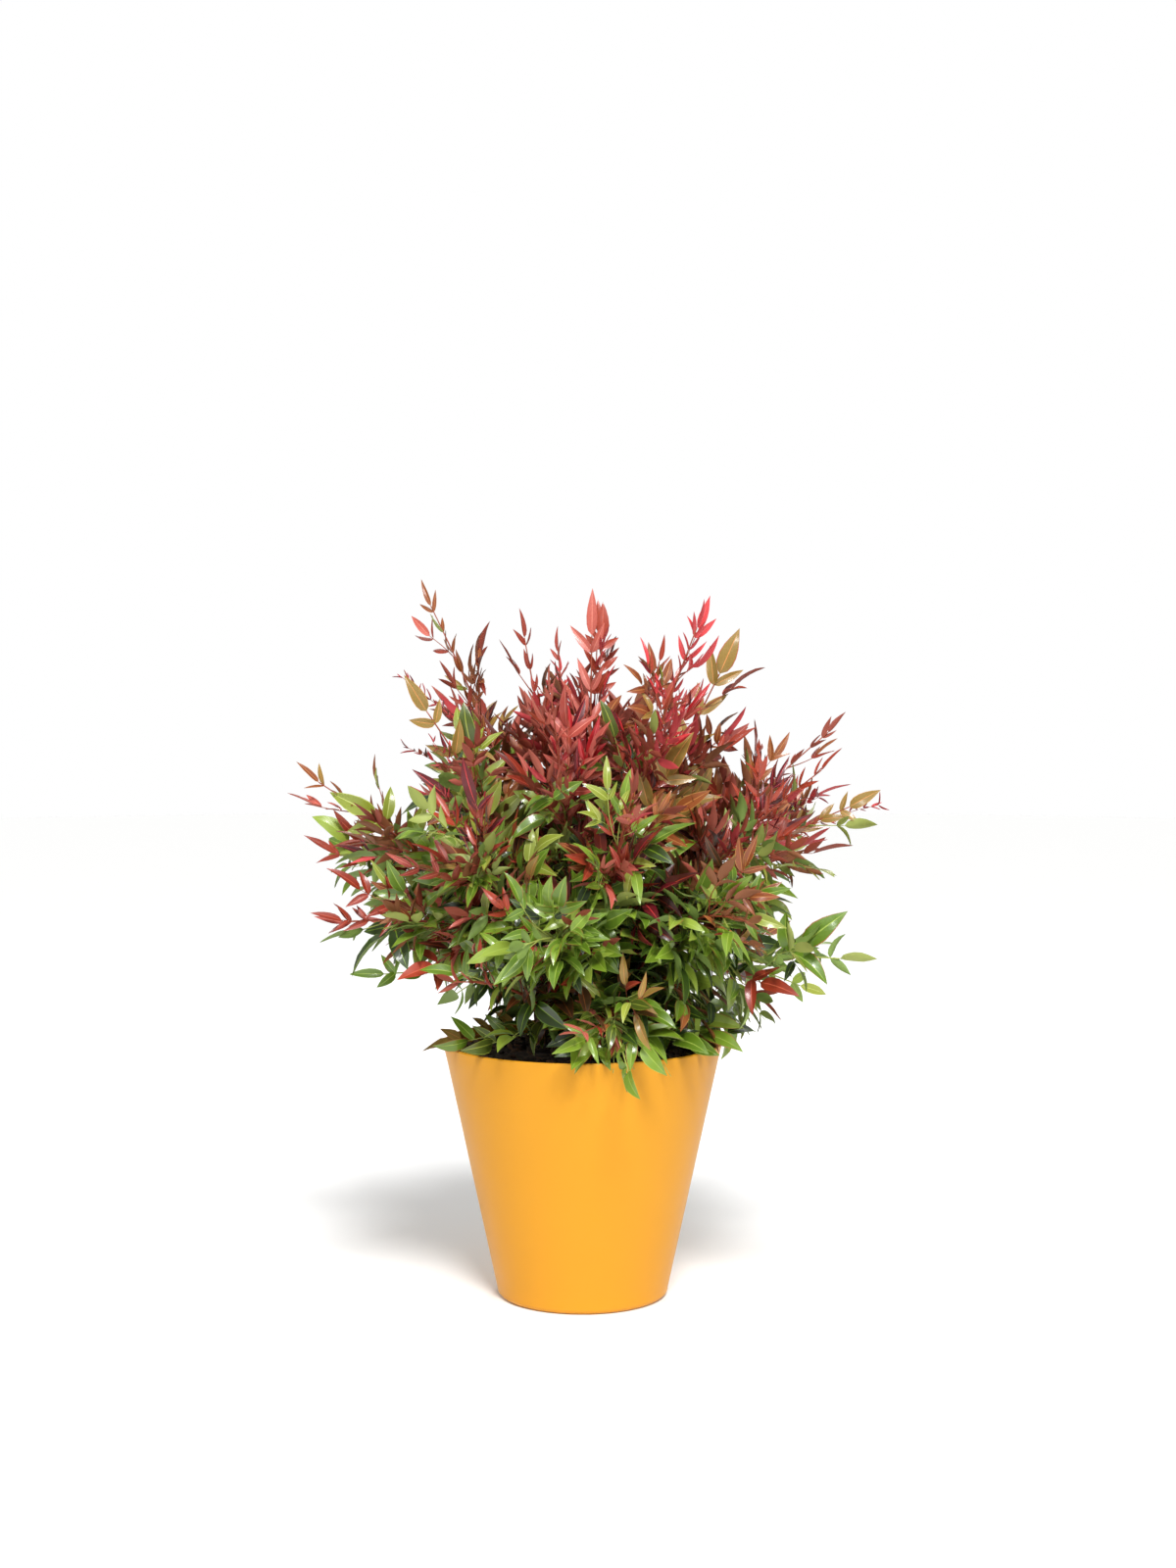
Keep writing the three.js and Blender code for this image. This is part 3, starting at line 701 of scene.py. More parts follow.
def grow_tip(crown, shoot, luck):
    """The end of a stem is a slender spray: pairs of leaflets down the thin stem, as far out as the
    solid's last leaflet reaches."""
    curve = shoot.curve
    tip = curve.tangent(1.0)
    across = spun(np.cross(curve.across(), tip), tip, luck.uniform(-TIP_UNREST, TIP_UNREST))
    tint = shoot.tint, int(luck.integers(DARKEST))
    youth = TIP_YOUTH + TIP_YOUTH_BY_RED * redness(shoot.tint)
    if shoot.tint in GREEN_TINTS:
        youth = GREEN_TIP_YOUTH
    size = crown.leaflet * OUTER_SCALE * mixed(1.0, TIP_FINENESS, youth)
    unrest, varied = TIP_UNREST, TIP_VARIED
    broad = shoot.name in BROAD_TIPS
    if broad:
        size, *tint, youth, facing = BROAD_TIPS[shoot.name]
        size, unrest, varied = size * MM, BROAD_UNREST, 0.0
        across = unit(np.cross(polar(facing, FACING_LIFT), tip))
    habit = Habit(tuple(tint), youth, shoot.droop, varied=varied)
    run = OUTER_SCALE * SOLID_LEAFLET - size
    points = curve.at(np.linspace(shoot.start, 1.0, STEM_POINTS))
    points = np.concatenate([points, [points[-1] + tip * run]])
    crown.add_stalk(points, STEM_RADII, habit, across)
    face = np.cross(tip, across)
    face = face if face[2] > 0 or broad else -face
    roll = luck.normal(0, 0.5 * unrest)
    crown.add_leaf(points[-1], tip, face, roll, size * TIP_END, habit, luck)
    below, pair = size * luck.uniform(*TIP_FIRST), 0
    while below < TIP_BEARS * (curve.length() + run):
        at = 1 - max(below - run, 0) / curve.length()
        along = curve.tangent(at)
        foot = curve.at(at) + tip * max(run - below, 0)
        opening = mixed(OLD_OPENING, YOUNG_OPENING, youth) - TIP_CLOSED
        for hand in (-1, 1):
            turn = math.radians(opening + luck.normal(0, OPENING_VARY))
            out = spun(leaning(along, hand * across, turn), along, luck.normal(0, TIP_SPIN))
            leaf = size * luck.uniform(*TIP_LEAFLET)
            if pair >= SINGLE_PAIRS:
                side = unit(np.cross(face, out))
                stalk = size * luck.uniform(*TIP_STALK)
                crown.add_spray(foot, unit(out), side, stalk + leaf, leaf, habit, luck, False)
            else:
                crown.add_leaf(foot, out, face, luck.normal(0, unrest), leaf, habit, luck)
        below += size * luck.uniform(*TIP_NEXT)
        if not broad:
            across = spun(across, along, luck.uniform(*TIP_TURN))
        pair += 1


def grow_accents(crown):
    """Sprays that stand out by the size or the colour of their leaflets, and young shoots."""
    curves = {shoot.name: shoot.curve for shoot in make_shoots()}
    luck = np.random.default_rng(77)
    for name, share, azimuth, elevation, reach, leaflet, slot, shade, youth, facing in ACCENTS:
        direction = polar(azimuth, elevation)
        across = unit(np.cross(polar(facing, FACING_LIFT), direction))
        habit = Habit((slot, shade), youth, varied=0.0)
        place = curves[name].at(share), direction, across
        crown.add_spray(*place, reach * MM, leaflet * MM, habit, luck, False)
    for name, share, azimuth, elevation, reach in YOUNG_SHOOTS:
        base, direction = curves[name].at(share), polar(azimuth, elevation)
        grow_young_shoot(crown, base, direction, reach * MM, luck)


def grow_young_shoot(crown, base, direction, reach, luck):
    """A young crimson shoot: a thin stalk that winds as sin s, with tiny leaflets still unfolding."""
    across = unit(np.cross(direction, UP))
    phase = luck.uniform(0, math.tau)

    def at(s):
        s = np.asarray(s, float)[..., None]
        winding = WINDING_WIDTH * (np.sin(WINDING * s + phase) - math.sin(phase)) * across
        return base + reach * (direction * s + winding + UP * ARCH * s * (1 - s))

    habit = Habit(("crimson", DARKEST), youth=0.9)
    crown.add_stalk(at(np.linspace(0, 1, YOUNG_POINTS)), YOUNG_RADII, habit, across)
    for k in range(int(reach / TINY_GAP)):
        s = 1 - k * TINY_GAP / reach
        if s < TINY_FROM:
            break
        along = heading_at(at, s)
        for hand in (-1, 1):
            turn = math.radians(luck.uniform(*TINY_OPENING))
            out = spun(leaning(along, hand * across, turn), along, luck.normal(0, TINY_SPIN))
            out = unit(out + TINY_UNREST * UP * luck.normal())
            leaf = luck.uniform(*TINY_LEAFLET) * MM
            face = np.cross(out, luck.normal(size=3))
            crown.add_leaf(at(s), out, face, 0, leaf, habit, luck)


def grow_low_sprays(crown, shoot, luck):
    """Old sprays that stand low on a shoot, in the shade of the crown."""
    curve = shoot.curve
    for k in range(LOW_SPRAYS):
        at = mixed(LOW_SPRAYS_FROM, LOW_SPRAYS_TO, (k + luck.random()) / LOW_SPRAYS)
        base, along = curve.at(at), curve.tangent(at)
        side = spun(curve.across(), along, math.radians(GOLDEN_ANGLE * k) + luck.uniform(0, 1))
        direction = unit(leaning(along, side, math.radians(luck.uniform(*LOW_SPREAD))))
        across = unit(np.cross([base[0], base[1], LOW_FACING_DEPTH], direction))
        reach = crown.leaflet * luck.uniform(*LOW_REACH)
        tint = tint_of(shoot, base[2], 0, luck)
        points = base + direction * reach * SPRAY_TESTS
        if not in_planter(points, SPRAY_CLEARANCE).any() and not is_open(points[2], luck):
            habit = Habit(tint, youth=0.1, droop=0.1, settled=0.4)
            crown.add_spray(base, direction, across, reach, crown.leaflet, habit, luck)


# -------- meshes


def new_piece(name, points, faces, materials, kinds=None, uv=None, edge=None):
    """A mesh object from whole arrays. faces is a list of arrays of corner numbers, one array for
    each count of corners. kinds is the material number of each face, and uv holds each corner's
    place. edge marks the points of a crease: shading breaks between two of them."""
    mesh = bpy.data.meshes.new(name)
    corners = np.concatenate([f.ravel() for f in faces])
    counts = np.concatenate([np.full(len(f), f.shape[1]) for f in faces])
    mesh.vertices.add(len(points))
    mesh.vertices.foreach_set("co", np.ascontiguousarray(points, np.float32).ravel())
    mesh.loops.add(len(corners))
    mesh.loops.foreach_set("vertex_index", corners.astype(np.int32))
    mesh.polygons.add(len(counts))
    mesh.polygons.foreach_set("loop_start", (np.cumsum(counts) - counts).astype(np.int32))
    for material in materials:
        mesh.materials.append(material)
    if kinds is not None:
        mesh.polygons.foreach_set("material_index", np.asarray(kinds, np.int32))
    mesh.polygons.foreach_set("use_smooth", np.full(len(counts), True))
    if uv is not None:
        layer = mesh.uv_layers.new(name="surface")
        layer.uv.foreach_set("vector", np.ascontiguousarray(uv, np.float32).ravel())
    mesh.update(calc_edges=True)
    if edge is not None:
        ends = np.empty(2 * len(mesh.edges), np.int32)
        mesh.edges.foreach_get("vertices", ends)
        mesh.edges.foreach_set("use_edge_sharp", edge[ends].reshape(-1, 2).all(1))
    if mesh.validate():
        raise RuntimeError(f"{name} has broken faces")
    piece = bpy.data.objects.new(name, mesh)
    bpy.context.scene.collection.objects.link(piece)
    return piece


def finish_piece(piece, nodes):
    """Ties a piece to the frame, on what it rides, and hides the nodes that it stands for."""
    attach(piece, "root")
    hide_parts(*nodes)


def repeated(pattern, copies, stride):
    """A pattern of corner numbers, once for each copy, each copy a stride further on."""
    shift = stride * np.arange(copies)[:, None, None]
    return (pattern[None] + shift).reshape(-1, pattern.shape[1])


def tube_faces(rows, sides):
    """A tube's faces: quads between its rows of corners, whose last side joins the first, and
    triangles that close its first and last row on the two points after all rows."""
    k, body = np.arange(sides), rows * sides
    after, last = (k + 1) % sides, body - sides
    row = sides * np.arange(rows - 1)[:, None]
    quads = [row + k, row + after, row + sides + after, row + sides + k]
    low = np.stack([np.full(sides, body), after, k], -1)
    high = np.stack([np.full(sides, body + 1), last + k, last + after], -1)
    return np.stack(quads, -1).reshape(-1, 4), np.concatenate([low, high])


def turned_surface(radii, heights, sides, wobble=None):
    """A profile turned about the vertical axis: x = r cos a, y = r sin a. It starts and ends on the
    axis, and each end closes on one point. wobble adds to the heights of the grid's rows."""
    angle = np.linspace(0, math.tau, sides, endpoint=False)
    radius, height = np.asarray(radii)[1:-1, None], np.asarray(heights)[1:-1, None]
    x, y = radius * np.cos(angle), radius * np.sin(angle)
    z = height + (0 * angle if wobble is None else wobble(x, y))
    points = np.stack([x, y, z], -1).reshape(-1, 3)
    ends = np.array([[0, 0, heights[0]], [0, 0, heights[-1]]])
    if wobble is not None:
        ends[1, 2] += wobble(np.zeros(1), np.zeros(1))[0]
    return np.concatenate([points, ends]), tube_faces(len(radii) - 2, sides)


def tube_surfaces(points, radii, across, sides):
    """Tubes round lines of points: centre + r (cos a across + sin a (tangent x across)).
    points is tubes x stations x 3, radii is tubes x stations or tubes x stations x sides."""
    tubes, stations, _ = points.shape
    tangent = unit(np.gradient(points, axis=1))
    square = unit(np.cross(tangent, across[:, None]))
    first = np.cross(square, tangent)
    angle = np.linspace(0, math.tau, sides, endpoint=False)
    spoke = first[:, :, None] * np.cos(angle)[:, None] + square[:, :, None] * np.sin(angle)[:, None]
    radii = radii if radii.ndim == 3 else radii[:, :, None]
    skin = (points[:, :, None] + spoke * radii[..., None]).reshape(tubes, -1, 3)
    skin = np.concatenate([skin, points[:, [0, -1]]], 1)
    faces = [repeated(part, tubes, skin.shape[1]) for part in tube_faces(stations, sides)]
    return skin.reshape(-1, 3), faces


LEAF_STATIONS = 6
MOST_LEAFLETS = 2300  # in one piece, so that it stays under 200,000 triangles
PLAIN_COLUMNS = (-1, -0.07, 0.07, 1)
MARGINED_COLUMNS = (-1, -0.91, -0.06, 0.06, 0.91, 1)
BLADE, RIB, UNDERSIDE, MARGIN = 0, 1, 2, 3
# How wide a leaflet is near its foot and its tip, and its curl and thickness.
FOOT_POWER, TIP_POWER, BLADE_CURL, BLADE_THICKNESS = 0.62, 1.1, 0.12, 0.6 * MM
HIGHEST, TWIST_FROM = 0.35, 0.2  # the shares where the midrib is highest, and where it isn't turned
RIPPLE, RIPPLE_SHIFT = 0.07, 1.4


@functools.cache
def leaf_pattern(columns):
    """A leaflet's faces: strips along its upper side, two along its underside, closed at both ends.
    Returns quads, triangles, each face's kind, each point's place along and across the blade, and
    whether it lies on the edge."""
    around = len(columns) + 1
    strips = [BLADE, RIB, BLADE, UNDERSIDE, UNDERSIDE]
    if columns == MARGINED_COLUMNS:
        strips = [MARGIN, *strips[:3], MARGIN, UNDERSIDE, UNDERSIDE]
    quads, triangles = (part[:, ::-1] for part in tube_faces(LEAF_STATIONS, around))
    quads = np.roll(quads, 1, 1)
    # Quads are halved from their first corner. The underside's start one corner on, so that both
    # sides of a twisted blade are halved alike and neither shows through the other.
    below = np.tile(np.array(strips) == UNDERSIDE, LEAF_STATIONS - 1)
    quads[below] = np.roll(quads[below], -1, 1)
    kinds = np.tile(strips, LEAF_STATIONS + 1)
    along = np.append(np.repeat(leaf_stations(), around), [0, 1])
    over = np.append(np.tile([*columns, 0], LEAF_STATIONS), [0, 0])
    edge = np.append(np.abs(over[:-2]) == 1, [True, True])
    return quads, triangles, kinds, np.stack([along, (over + 1) / 2], -1), edge


def leaf_stations():
    """Shares of a leaflet's length, closer together at its ends."""
    even = np.arange(1, LEAF_STATIONS + 1) / (LEAF_STATIONS + 1)
    return even - 0.05 * np.sin(math.tau * even)


def leaf_surfaces(leaves, columns):
    """Leaflets as closed blades. At share u of the length the half width is
    u^a (1-u)^b over its greatest value, so the blade is widest at a / (a+b) and drawn out at its tip.
    The midrib is an arc whose slope falls from bend * c to bend * (c-1). Across the blade, at share
    v of the half width h, it rises by h (|v| sin(fold) - curl |v|^3) plus a wave along the margin,
    and turns about the midrib with u. The underside's midrib lies one thickness below."""
    a, b, c = FOOT_POWER, TIP_POWER, HIGHEST
    widest = a / (a + b)
    u = leaf_stations()[None, :, None]
    v = np.append(columns, 0)[None, None]
    under = np.append(np.zeros(len(columns)), 1)[None, None]
    length, width, fold, bend, twist, wave = (values[:, None, None] for values in leaves[3:9])
    half = 0.5 * width * (u / widest) ** a * ((1 - u) / (1 - widest)) ** b
    side = v * half * np.cos(fold)
    ripple = RIPPLE * np.sin(3 * math.pi * u + wave + RIPPLE_SHIFT * np.sign(v)) * v**2
    rise = half * (np.abs(v) * np.sin(fold) - BLADE_CURL * np.abs(v) ** 3 + ripple)
    rise = rise - BLADE_THICKNESS * under
    turn = twist * (u - TWIST_FROM)
    side, rise = side * np.cos(turn) - rise * np.sin(turn), side * np.sin(turn) + rise * np.cos(turn)
    slope = np.concatenate([bend * (c - u), bend * (c - 1)], 1)
    rib_x = length * (np.sin(bend * c) - np.sin(slope)) / bend
    rib_z = length * (np.cos(slope) - np.cos(bend * c)) / bend
    slope = slope[:, :-1]
    local = rib_x[:, :-1] - rise * np.sin(slope), side, rib_z[:, :-1] + rise * np.cos(slope)
    ends = (rib_x[:, -1:], 0 * length, rib_z[:, -1:])
    x, y, z = (
        np.concatenate([part.reshape(len(part), -1), 0 * end[:, 0], end[:, 0]], 1)[..., None]
        for part, end in zip(local, ends)
    )
    heading, front = leaves.heading[:, None], leaves.front[:, None]
    return leaves.foot[:, None] + x * heading + y * np.cross(front, heading) + z * front


# -------- materials


def feed(node, inputs):
    """Sets a node's inputs, by name or number: each to a value, to an output socket or to another
    node's first output."""
    for key, value in inputs.items():
        value = value.outputs[0] if isinstance(value, bpy.types.Node) else value
        if isinstance(value, bpy.types.NodeSocket):
            node.id_data.links.new(value, node.inputs[key])
        else:
            node.inputs[key].default_value = value


def add_node(owner, kind, inputs=None, **settings):
    """A shader node of a material or world, with its settings and links."""
    node = owner.node_tree.nodes.new("ShaderNode" + kind)
    for key, value in settings.items():
        setattr(node, key, value)
    feed(node, inputs or {})
    return node


def new_material(name):
    """A Principled material, and its Object coordinates in metres."""
    material = bpy.data.materials.new(name)
    material.use_nodes = True
    return material, add_node(material, "TexCoord").outputs["Object"]


def finished(material, inputs):
    """The material, with its shader's inputs set."""
    feed(material.node_tree.nodes["Principled BSDF"], inputs)
    return material


def per_metre(size_mm):
    """A texture's scale for a pattern of that many millimetres."""
    return 1000 / size_mm


def two_toned(material, pattern, low, dark, high, pale):
    """A pattern turned to colour: dark below one value, pale above another."""
    tone = add_node(material, "ValToRGB", {"Fac": pattern})
    for stop, place, colour in zip(tone.color_ramp.elements, (low, high), (dark, pale)):
        stop.position, stop.color = place, linear(colour)
    return tone


def waxy_leaf(name, colour, roughness, gloss=0.0):
    """Living leaf with a waxy cuticle: even colour, a soft sheen that varies from patch to patch,
    and fine side veins that slant forwards from the midrib and catch the light."""
    material, place = new_material(name)
    patches = add_node(material, "TexNoise", {"Vector": place, "Scale": per_metre(14)})
    sheen = {"From Min": 0.3, "From Max": 0.7, "To Min": roughness - 0.07, "To Max": roughness + 0.1}
    sheen = add_node(material, "MapRange", {"Value": patches, **sheen})
    surface = add_node(material, "SeparateXYZ", {0: add_node(material, "UVMap", uv_map="surface")})
    veins = add_node(material, "Math", {0: surface.outputs[1], 1: 0.5}, operation="SUBTRACT")
    veins = add_node(material, "Math", {0: veins}, operation="ABSOLUTE")
    veins = add_node(material, "Math", {0: veins, 1: 0.55}, operation="MULTIPLY")
    veins = add_node(material, "Math", {0: surface.outputs[0], 1: veins}, operation="SUBTRACT")
    veins = add_node(material, "Math", {0: veins, 1: 50.0}, operation="MULTIPLY")
    veins = add_node(material, "Math", {0: veins}, operation="SINE")
    grain = {"Vector": place, "Scale": per_metre(3), "Detail": 1.0}
    grain = add_node(material, "TexNoise", grain)
    height = add_node(material, "Math", {0: veins, 1: 0.2, 2: grain}, operation="MULTIPLY_ADD")
    bump = add_node(material, "Bump", {"Height": height, "Strength": 0.25, "Distance": 0.25 * MM})
    coat = {"Base Color": linear(colour), "Coat Weight": gloss, "Coat Roughness": 0.14}
    return finished(material, {**coat, "Roughness": sheen, "Normal": bump})


def young_stalk(name, colour):
    """Living rachis skin: smooth, faintly ribbed along its length, with a dull shine."""
    material, place = new_material(name)
    ribs = add_node(material, "TexNoise", {"Vector": place, "Scale": per_metre(2)})
    bump = add_node(material, "Bump", {"Height": ribs, "Strength": 0.4, "Distance": 0.2 * MM})
    return finished(material, {"Base Color": linear(colour), "Roughness": 0.5, "Normal": bump})


def cane_bark(name):
    """Old cane: fibrous bark in long upright streaks, dark brown in its furrows and tan on its
    ridges, rough and without shine."""
    material, place = new_material(name)
    place = add_node(material, "Mapping", {"Vector": place, "Scale": (1.0, 1.0, 0.12)})
    fibre = {"Vector": place, "Scale": per_metre(2.2), "Detail": 5.0, "Roughness": 0.65}
    fibre = add_node(material, "TexNoise", fibre)
    tone = two_toned(material, fibre, 0.35, "#2d1f17", 0.68, "#8a6c50")
    bump = add_node(material, "Bump", {"Height": fibre, "Strength": 0.8, "Distance": 0.6 * MM})
    return finished(material, {"Base Color": tone, "Roughness": 0.85, "Normal": bump})


def peat_and_bark(name):
    """Moist potting mix: dark crumbs of peat with paler fibres, matte."""
    material, place = new_material(name)
    crumbs = {"Vector": place, "Scale": per_metre(5), "Detail": 6.0, "Roughness": 0.7}
    crumbs = add_node(material, "TexNoise", crumbs)
    tone = two_toned(material, crumbs, 0.38, "#15100c", 0.7, "#4f3c2c")
    bump = add_node(material, "Bump", {"Height": crumbs, "Strength": 1.0, "Distance": 1.5 * MM})
    return finished(material, {"Base Color": tone, "Roughness": 0.92, "Normal": bump})


def bark_chip(name, colour):
    """Composted bark chip: fibrous and matte, in one brown."""
    material, place = new_material(name)
    fibre = add_node(material, "TexNoise", {"Vector": place, "Scale": per_metre(1.5), "Detail": 4.0})
    bump = add_node(material, "Bump", {"Height": fibre, "Strength": 0.8, "Distance": 0.5 * MM})
    return finished(material, {"Base Color": linear(colour), "Roughness": 0.88, "Normal": bump})


def moulded_polypropylene(name, colour):
    """Injection-moulded polypropylene, coloured right through: a satin skin with a fine eroded
    grain from the mould, very slightly uneven in tone where the melt flowed."""
    material, place = new_material(name)
    flow = add_node(material, "TexNoise", {"Vector": place, "Scale": per_metre(90)})
    shade = [0.955 * part for part in colour[:3]] + [1.0]
    tone = {"Factor": flow, "A": list(colour), "B": shade}
    tone = add_node(material, "Mix", tone, data_type="RGBA").outputs["Result"]
    satin = add_node(material, "MapRange", {"Value": flow, "To Min": 0.36, "To Max": 0.46})
    # The real grain is about 0.1 mm. It is drawn at 0.7 mm, so that it shows.
    grain = add_node(material, "TexNoise", {"Vector": place, "Scale": per_metre(0.7), "Detail": 1.0})
    bump = add_node(material, "Bump", {"Height": grain, "Strength": 0.25, "Distance": 0.08 * MM})
    skin = {"Base Color": tone, "Roughness": satin, "Normal": bump}
    return finished(material, {**skin, "IOR": 1.49, "Specular IOR Level": 0.22})


def matt_studio_floor(name, colour):
    """Painted studio floor: flat and matt, with a faint unevenness."""
    material, place = new_material(name)
    wear = add_node(material, "TexNoise", {"Vector": place, "Scale": per_metre(300)})
    matt = add_node(material, "MapRange", {"Value": wear, "To Min": 0.85, "To Max": 0.95})
    return finished(material, {"Base Color": colour, "Roughness": matt})


# -------- relief


def lumps(x, y, cell, seed):
    """Smooth random relief from 0 to 1: random heights on a square lattice of that cell, joined by
    the blend 3s^2 - 2s^3 both ways."""
    size = 128
    lattice = np.random.default_rng(seed).random((size, size))
    p, q = x / cell + size / 2, y / cell + size / 2
    i, j = np.floor(p).astype(int), np.floor(q).astype(int)
    s, t = p - i, q - j
    s, t = s * s * (3 - 2 * s), t * t * (3 - 2 * t)
    i, j = i % size, j % size
    right, up = (i + 1) % size, (j + 1) % size
    low = mixed(lattice[i, j], lattice[right, j], s)
    high = mixed(lattice[i, up], lattice[right, up], s)
    return mixed(low, high, t)


def mix_height(x, y):
    """The potting mix's surface: a low dome, with lumps of three sizes."""
    edge = outer_radius(MIX_TOP) - PLANTER_WALL
    fall = np.clip((np.hypot(x, y) - MIX_FLAT_RADIUS) / (edge - MIX_FLAT_RADIUS), 0, 1)
    sizes = ((3.2, 16), (2.2, 7), (1.2, 3))
    relief = sum(rise * lumps(x, y, cell * MM, n) for n, (rise, cell) in enumerate(sizes, 1))
    return MIX_TOP - MIX_RISE * fall + MM * (relief - 3.4)


# -------- operators

CAMERA_PLACE, CAMERA_PITCH, CAMERA_LENS = (0.0057, -2.4, 0.665), -2.96, 52.45
LAMP_SIZE, LAMP_AIM = 0.35, (0, 0, 0.45)
LAMPS = (
    ("left", (-1.1, -1.9, 1.6), 15),
    ("right", (1.3, -1.9, 1.4), 13),
    ("back", (0.4, 2.3, 1.8), 16),
)
KEY_SOFTNESS, KEY_TURN = 16, (40, 0, 10)  # degrees
FLOOR_RADIUS, FLOOR_SIDES = 8, 96
# The moulded ring under the planter, and the round between its wall and its floor inside.
RING_RADIUS, RING_WIDTH, RING_DEPTH, INNER_ROUND = 68 * MM, 3 * MM, 0.5 * MM, 3 * MM
CHIPS, CHIP_SIZES, CHIP_LIFT, CHIPS_INSET = 620, ((3, 8.5), (1.8, 4), (0.7, 1.6)), 1 * MM, 7 * MM
CHIP_SQUARED, CHIP_UNEVEN, CHIP_TILT = 0.7, (0.75, 1.2), 0.35
# A cane's ribs: their height, how many stand round it, how they wind and how their start shifts.
CANE_RIBS = (0.05, 7, 5, 1), (0.035, 11, -7, 2)
CANE_SUNK, FLARED_SHARE, BARK_ROUGHNESS = 3 * MM, 0.3, 0.03
# Old leaf sheaths: how many stand on a cane, and how a ring rises, falls off below and ends.
SHEATHS, SHEATH_RISE, SHEATH_FALL, SHEATH_END = (6.5, 8.5), 0.24, 6, 0.97


def place_object(name, data, place, turn):
    """A new object that holds a camera or a light."""
    item = bpy.data.objects.new(name, data)
    item.location, item.rotation_euler = place, turn
    bpy.context.scene.collection.objects.link(item)
    return item


class HEAVENLY_BAMBOO_OT_stage(bpy.types.Operator):
    """Camera, lights and a plain pale floor"""

    bl_idname = "heavenly_bamboo.stage"
    bl_label = "Stage"

    def execute(self, context):
        scene = context.scene
        settings = scene.heavenly_bamboo_stage
        camera = bpy.data.cameras.new("camera")
        camera.lens, camera.clip_end = CAMERA_LENS, 40
        tilt = math.radians(90 + CAMERA_PITCH)
        scene.camera = place_object("camera", camera, CAMERA_PLACE, (tilt, 0, 0))
        sun = bpy.data.lights.new("key", "SUN")
        sun.angle, sun.energy = math.radians(KEY_SOFTNESS), settings.key_power
        place_object("key", sun, (0, 0, 0), [math.radians(turn) for turn in KEY_TURN])
        for name, place, power in LAMPS:
            lamp = bpy.data.lights.new(name, "AREA")
            lamp.size, lamp.energy = LAMP_SIZE, power
            x, y, z = np.array(LAMP_AIM) - np.array(place)
            turn = math.atan2(math.hypot(x, y), -z), 0, math.atan2(-x, y)
            place_object(name, lamp, place, turn)
        scene.world = self.make_sky(settings.sky)
        scene.view_settings.view_transform = "Standard"
        scene.view_settings.look = "None"
        angle = np.linspace(0, math.tau, FLOOR_SIDES, endpoint=False)
        rim = [FLOOR_RADIUS * np.cos(angle), FLOOR_RADIUS * np.sin(angle), 0 * angle - 0.2 * MM]
        paint = matt_studio_floor("matt_studio_floor", settings.floor_colour)
        floor = new_piece("floor", np.stack(rim, -1), [np.arange(FLOOR_SIDES)[None]], [paint])
        floor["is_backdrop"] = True
        return {"FINISHED"}

    def make_sky(self, strength):
        """A white world that lights the plant softly, three times as strongly from overhead as from
        the horizon, and is plain white to the camera."""
        world = bpy.data.worlds.new("studio")
        world.use_nodes = True
        white = (1, 1, 1, 1)
        upwards = add_node(world, "TexCoord").outputs["Generated"]
        upwards = add_node(world, "SeparateXYZ", {0: upwards}).outputs["Z"]
        overhead = {"Value": upwards, "To Min": strength, "To Max": 3 * strength}
        lit = world.node_tree.nodes["Background"]
        feed(lit, {"Color": white, "Strength": add_node(world, "MapRange", overhead)})
        seen = add_node(world, "LightPath").outputs["Is Camera Ray"]
        backdrop = add_node(world, "Background", {"Color": white, "Strength": 1.0})
        both = add_node(world, "MixShader", {0: seen, 1: lit, 2: backdrop})
        feed(world.node_tree.nodes["World Output"], {"Surface": both})
        return world


class HEAVENLY_BAMBOO_OT_planter(bpy.types.Operator):
    """The moulded planter, with its rounded rim and foot and a moulded ring under it"""

    bl_idname = "heavenly_bamboo.planter"
    bl_label = "Planter"

    def execute(self, context):
        settings = context.scene.heavenly_bamboo_planter
        wall = settings.wall
        arc, lip = np.linspace(0, math.pi / 2, 9), np.linspace(0, math.pi, 13)
        groove = np.linspace(0, math.tau, 9)
        foot_centre = outer_radius(FOOT_ROUND) - FOOT_ROUND
        rim_centre = outer_radius(PLANTER_HEIGHT) - wall / 2
        side = np.linspace(FOOT_ROUND, PLANTER_HEIGHT - wall / 2, 16)[1:-1]
        inside = np.linspace(PLANTER_HEIGHT - wall, PLANTER_FLOOR + INNER_ROUND, 8)
        profile = (
            ([0], [0]),
            (RING_RADIUS + RING_WIDTH * groove / math.tau, RING_DEPTH * (1 - np.cos(groove))),
            (foot_centre + FOOT_ROUND * np.sin(arc), FOOT_ROUND * (1 - np.cos(arc))),
            (outer_radius(side), side),
            (rim_centre + wall / 2 * np.cos(lip), PLANTER_HEIGHT - wall / 2 + wall / 2 * np.sin(lip)),
            (outer_radius(inside) - wall, inside),
            ([outer_radius(PLANTER_FLOOR) - wall - INNER_ROUND, 0], [PLANTER_FLOOR, PLANTER_FLOOR]),
        )
        radii, heights = map(np.concatenate, zip(*profile))
        points, faces = turned_surface(radii, heights, 180)
        skin = moulded_polypropylene("moulded_polypropylene", settings.colour)
        piece = new_piece("planter_shell", points, faces, [skin])
        finish_piece(piece, ["planter"])
        return {"FINISHED"}


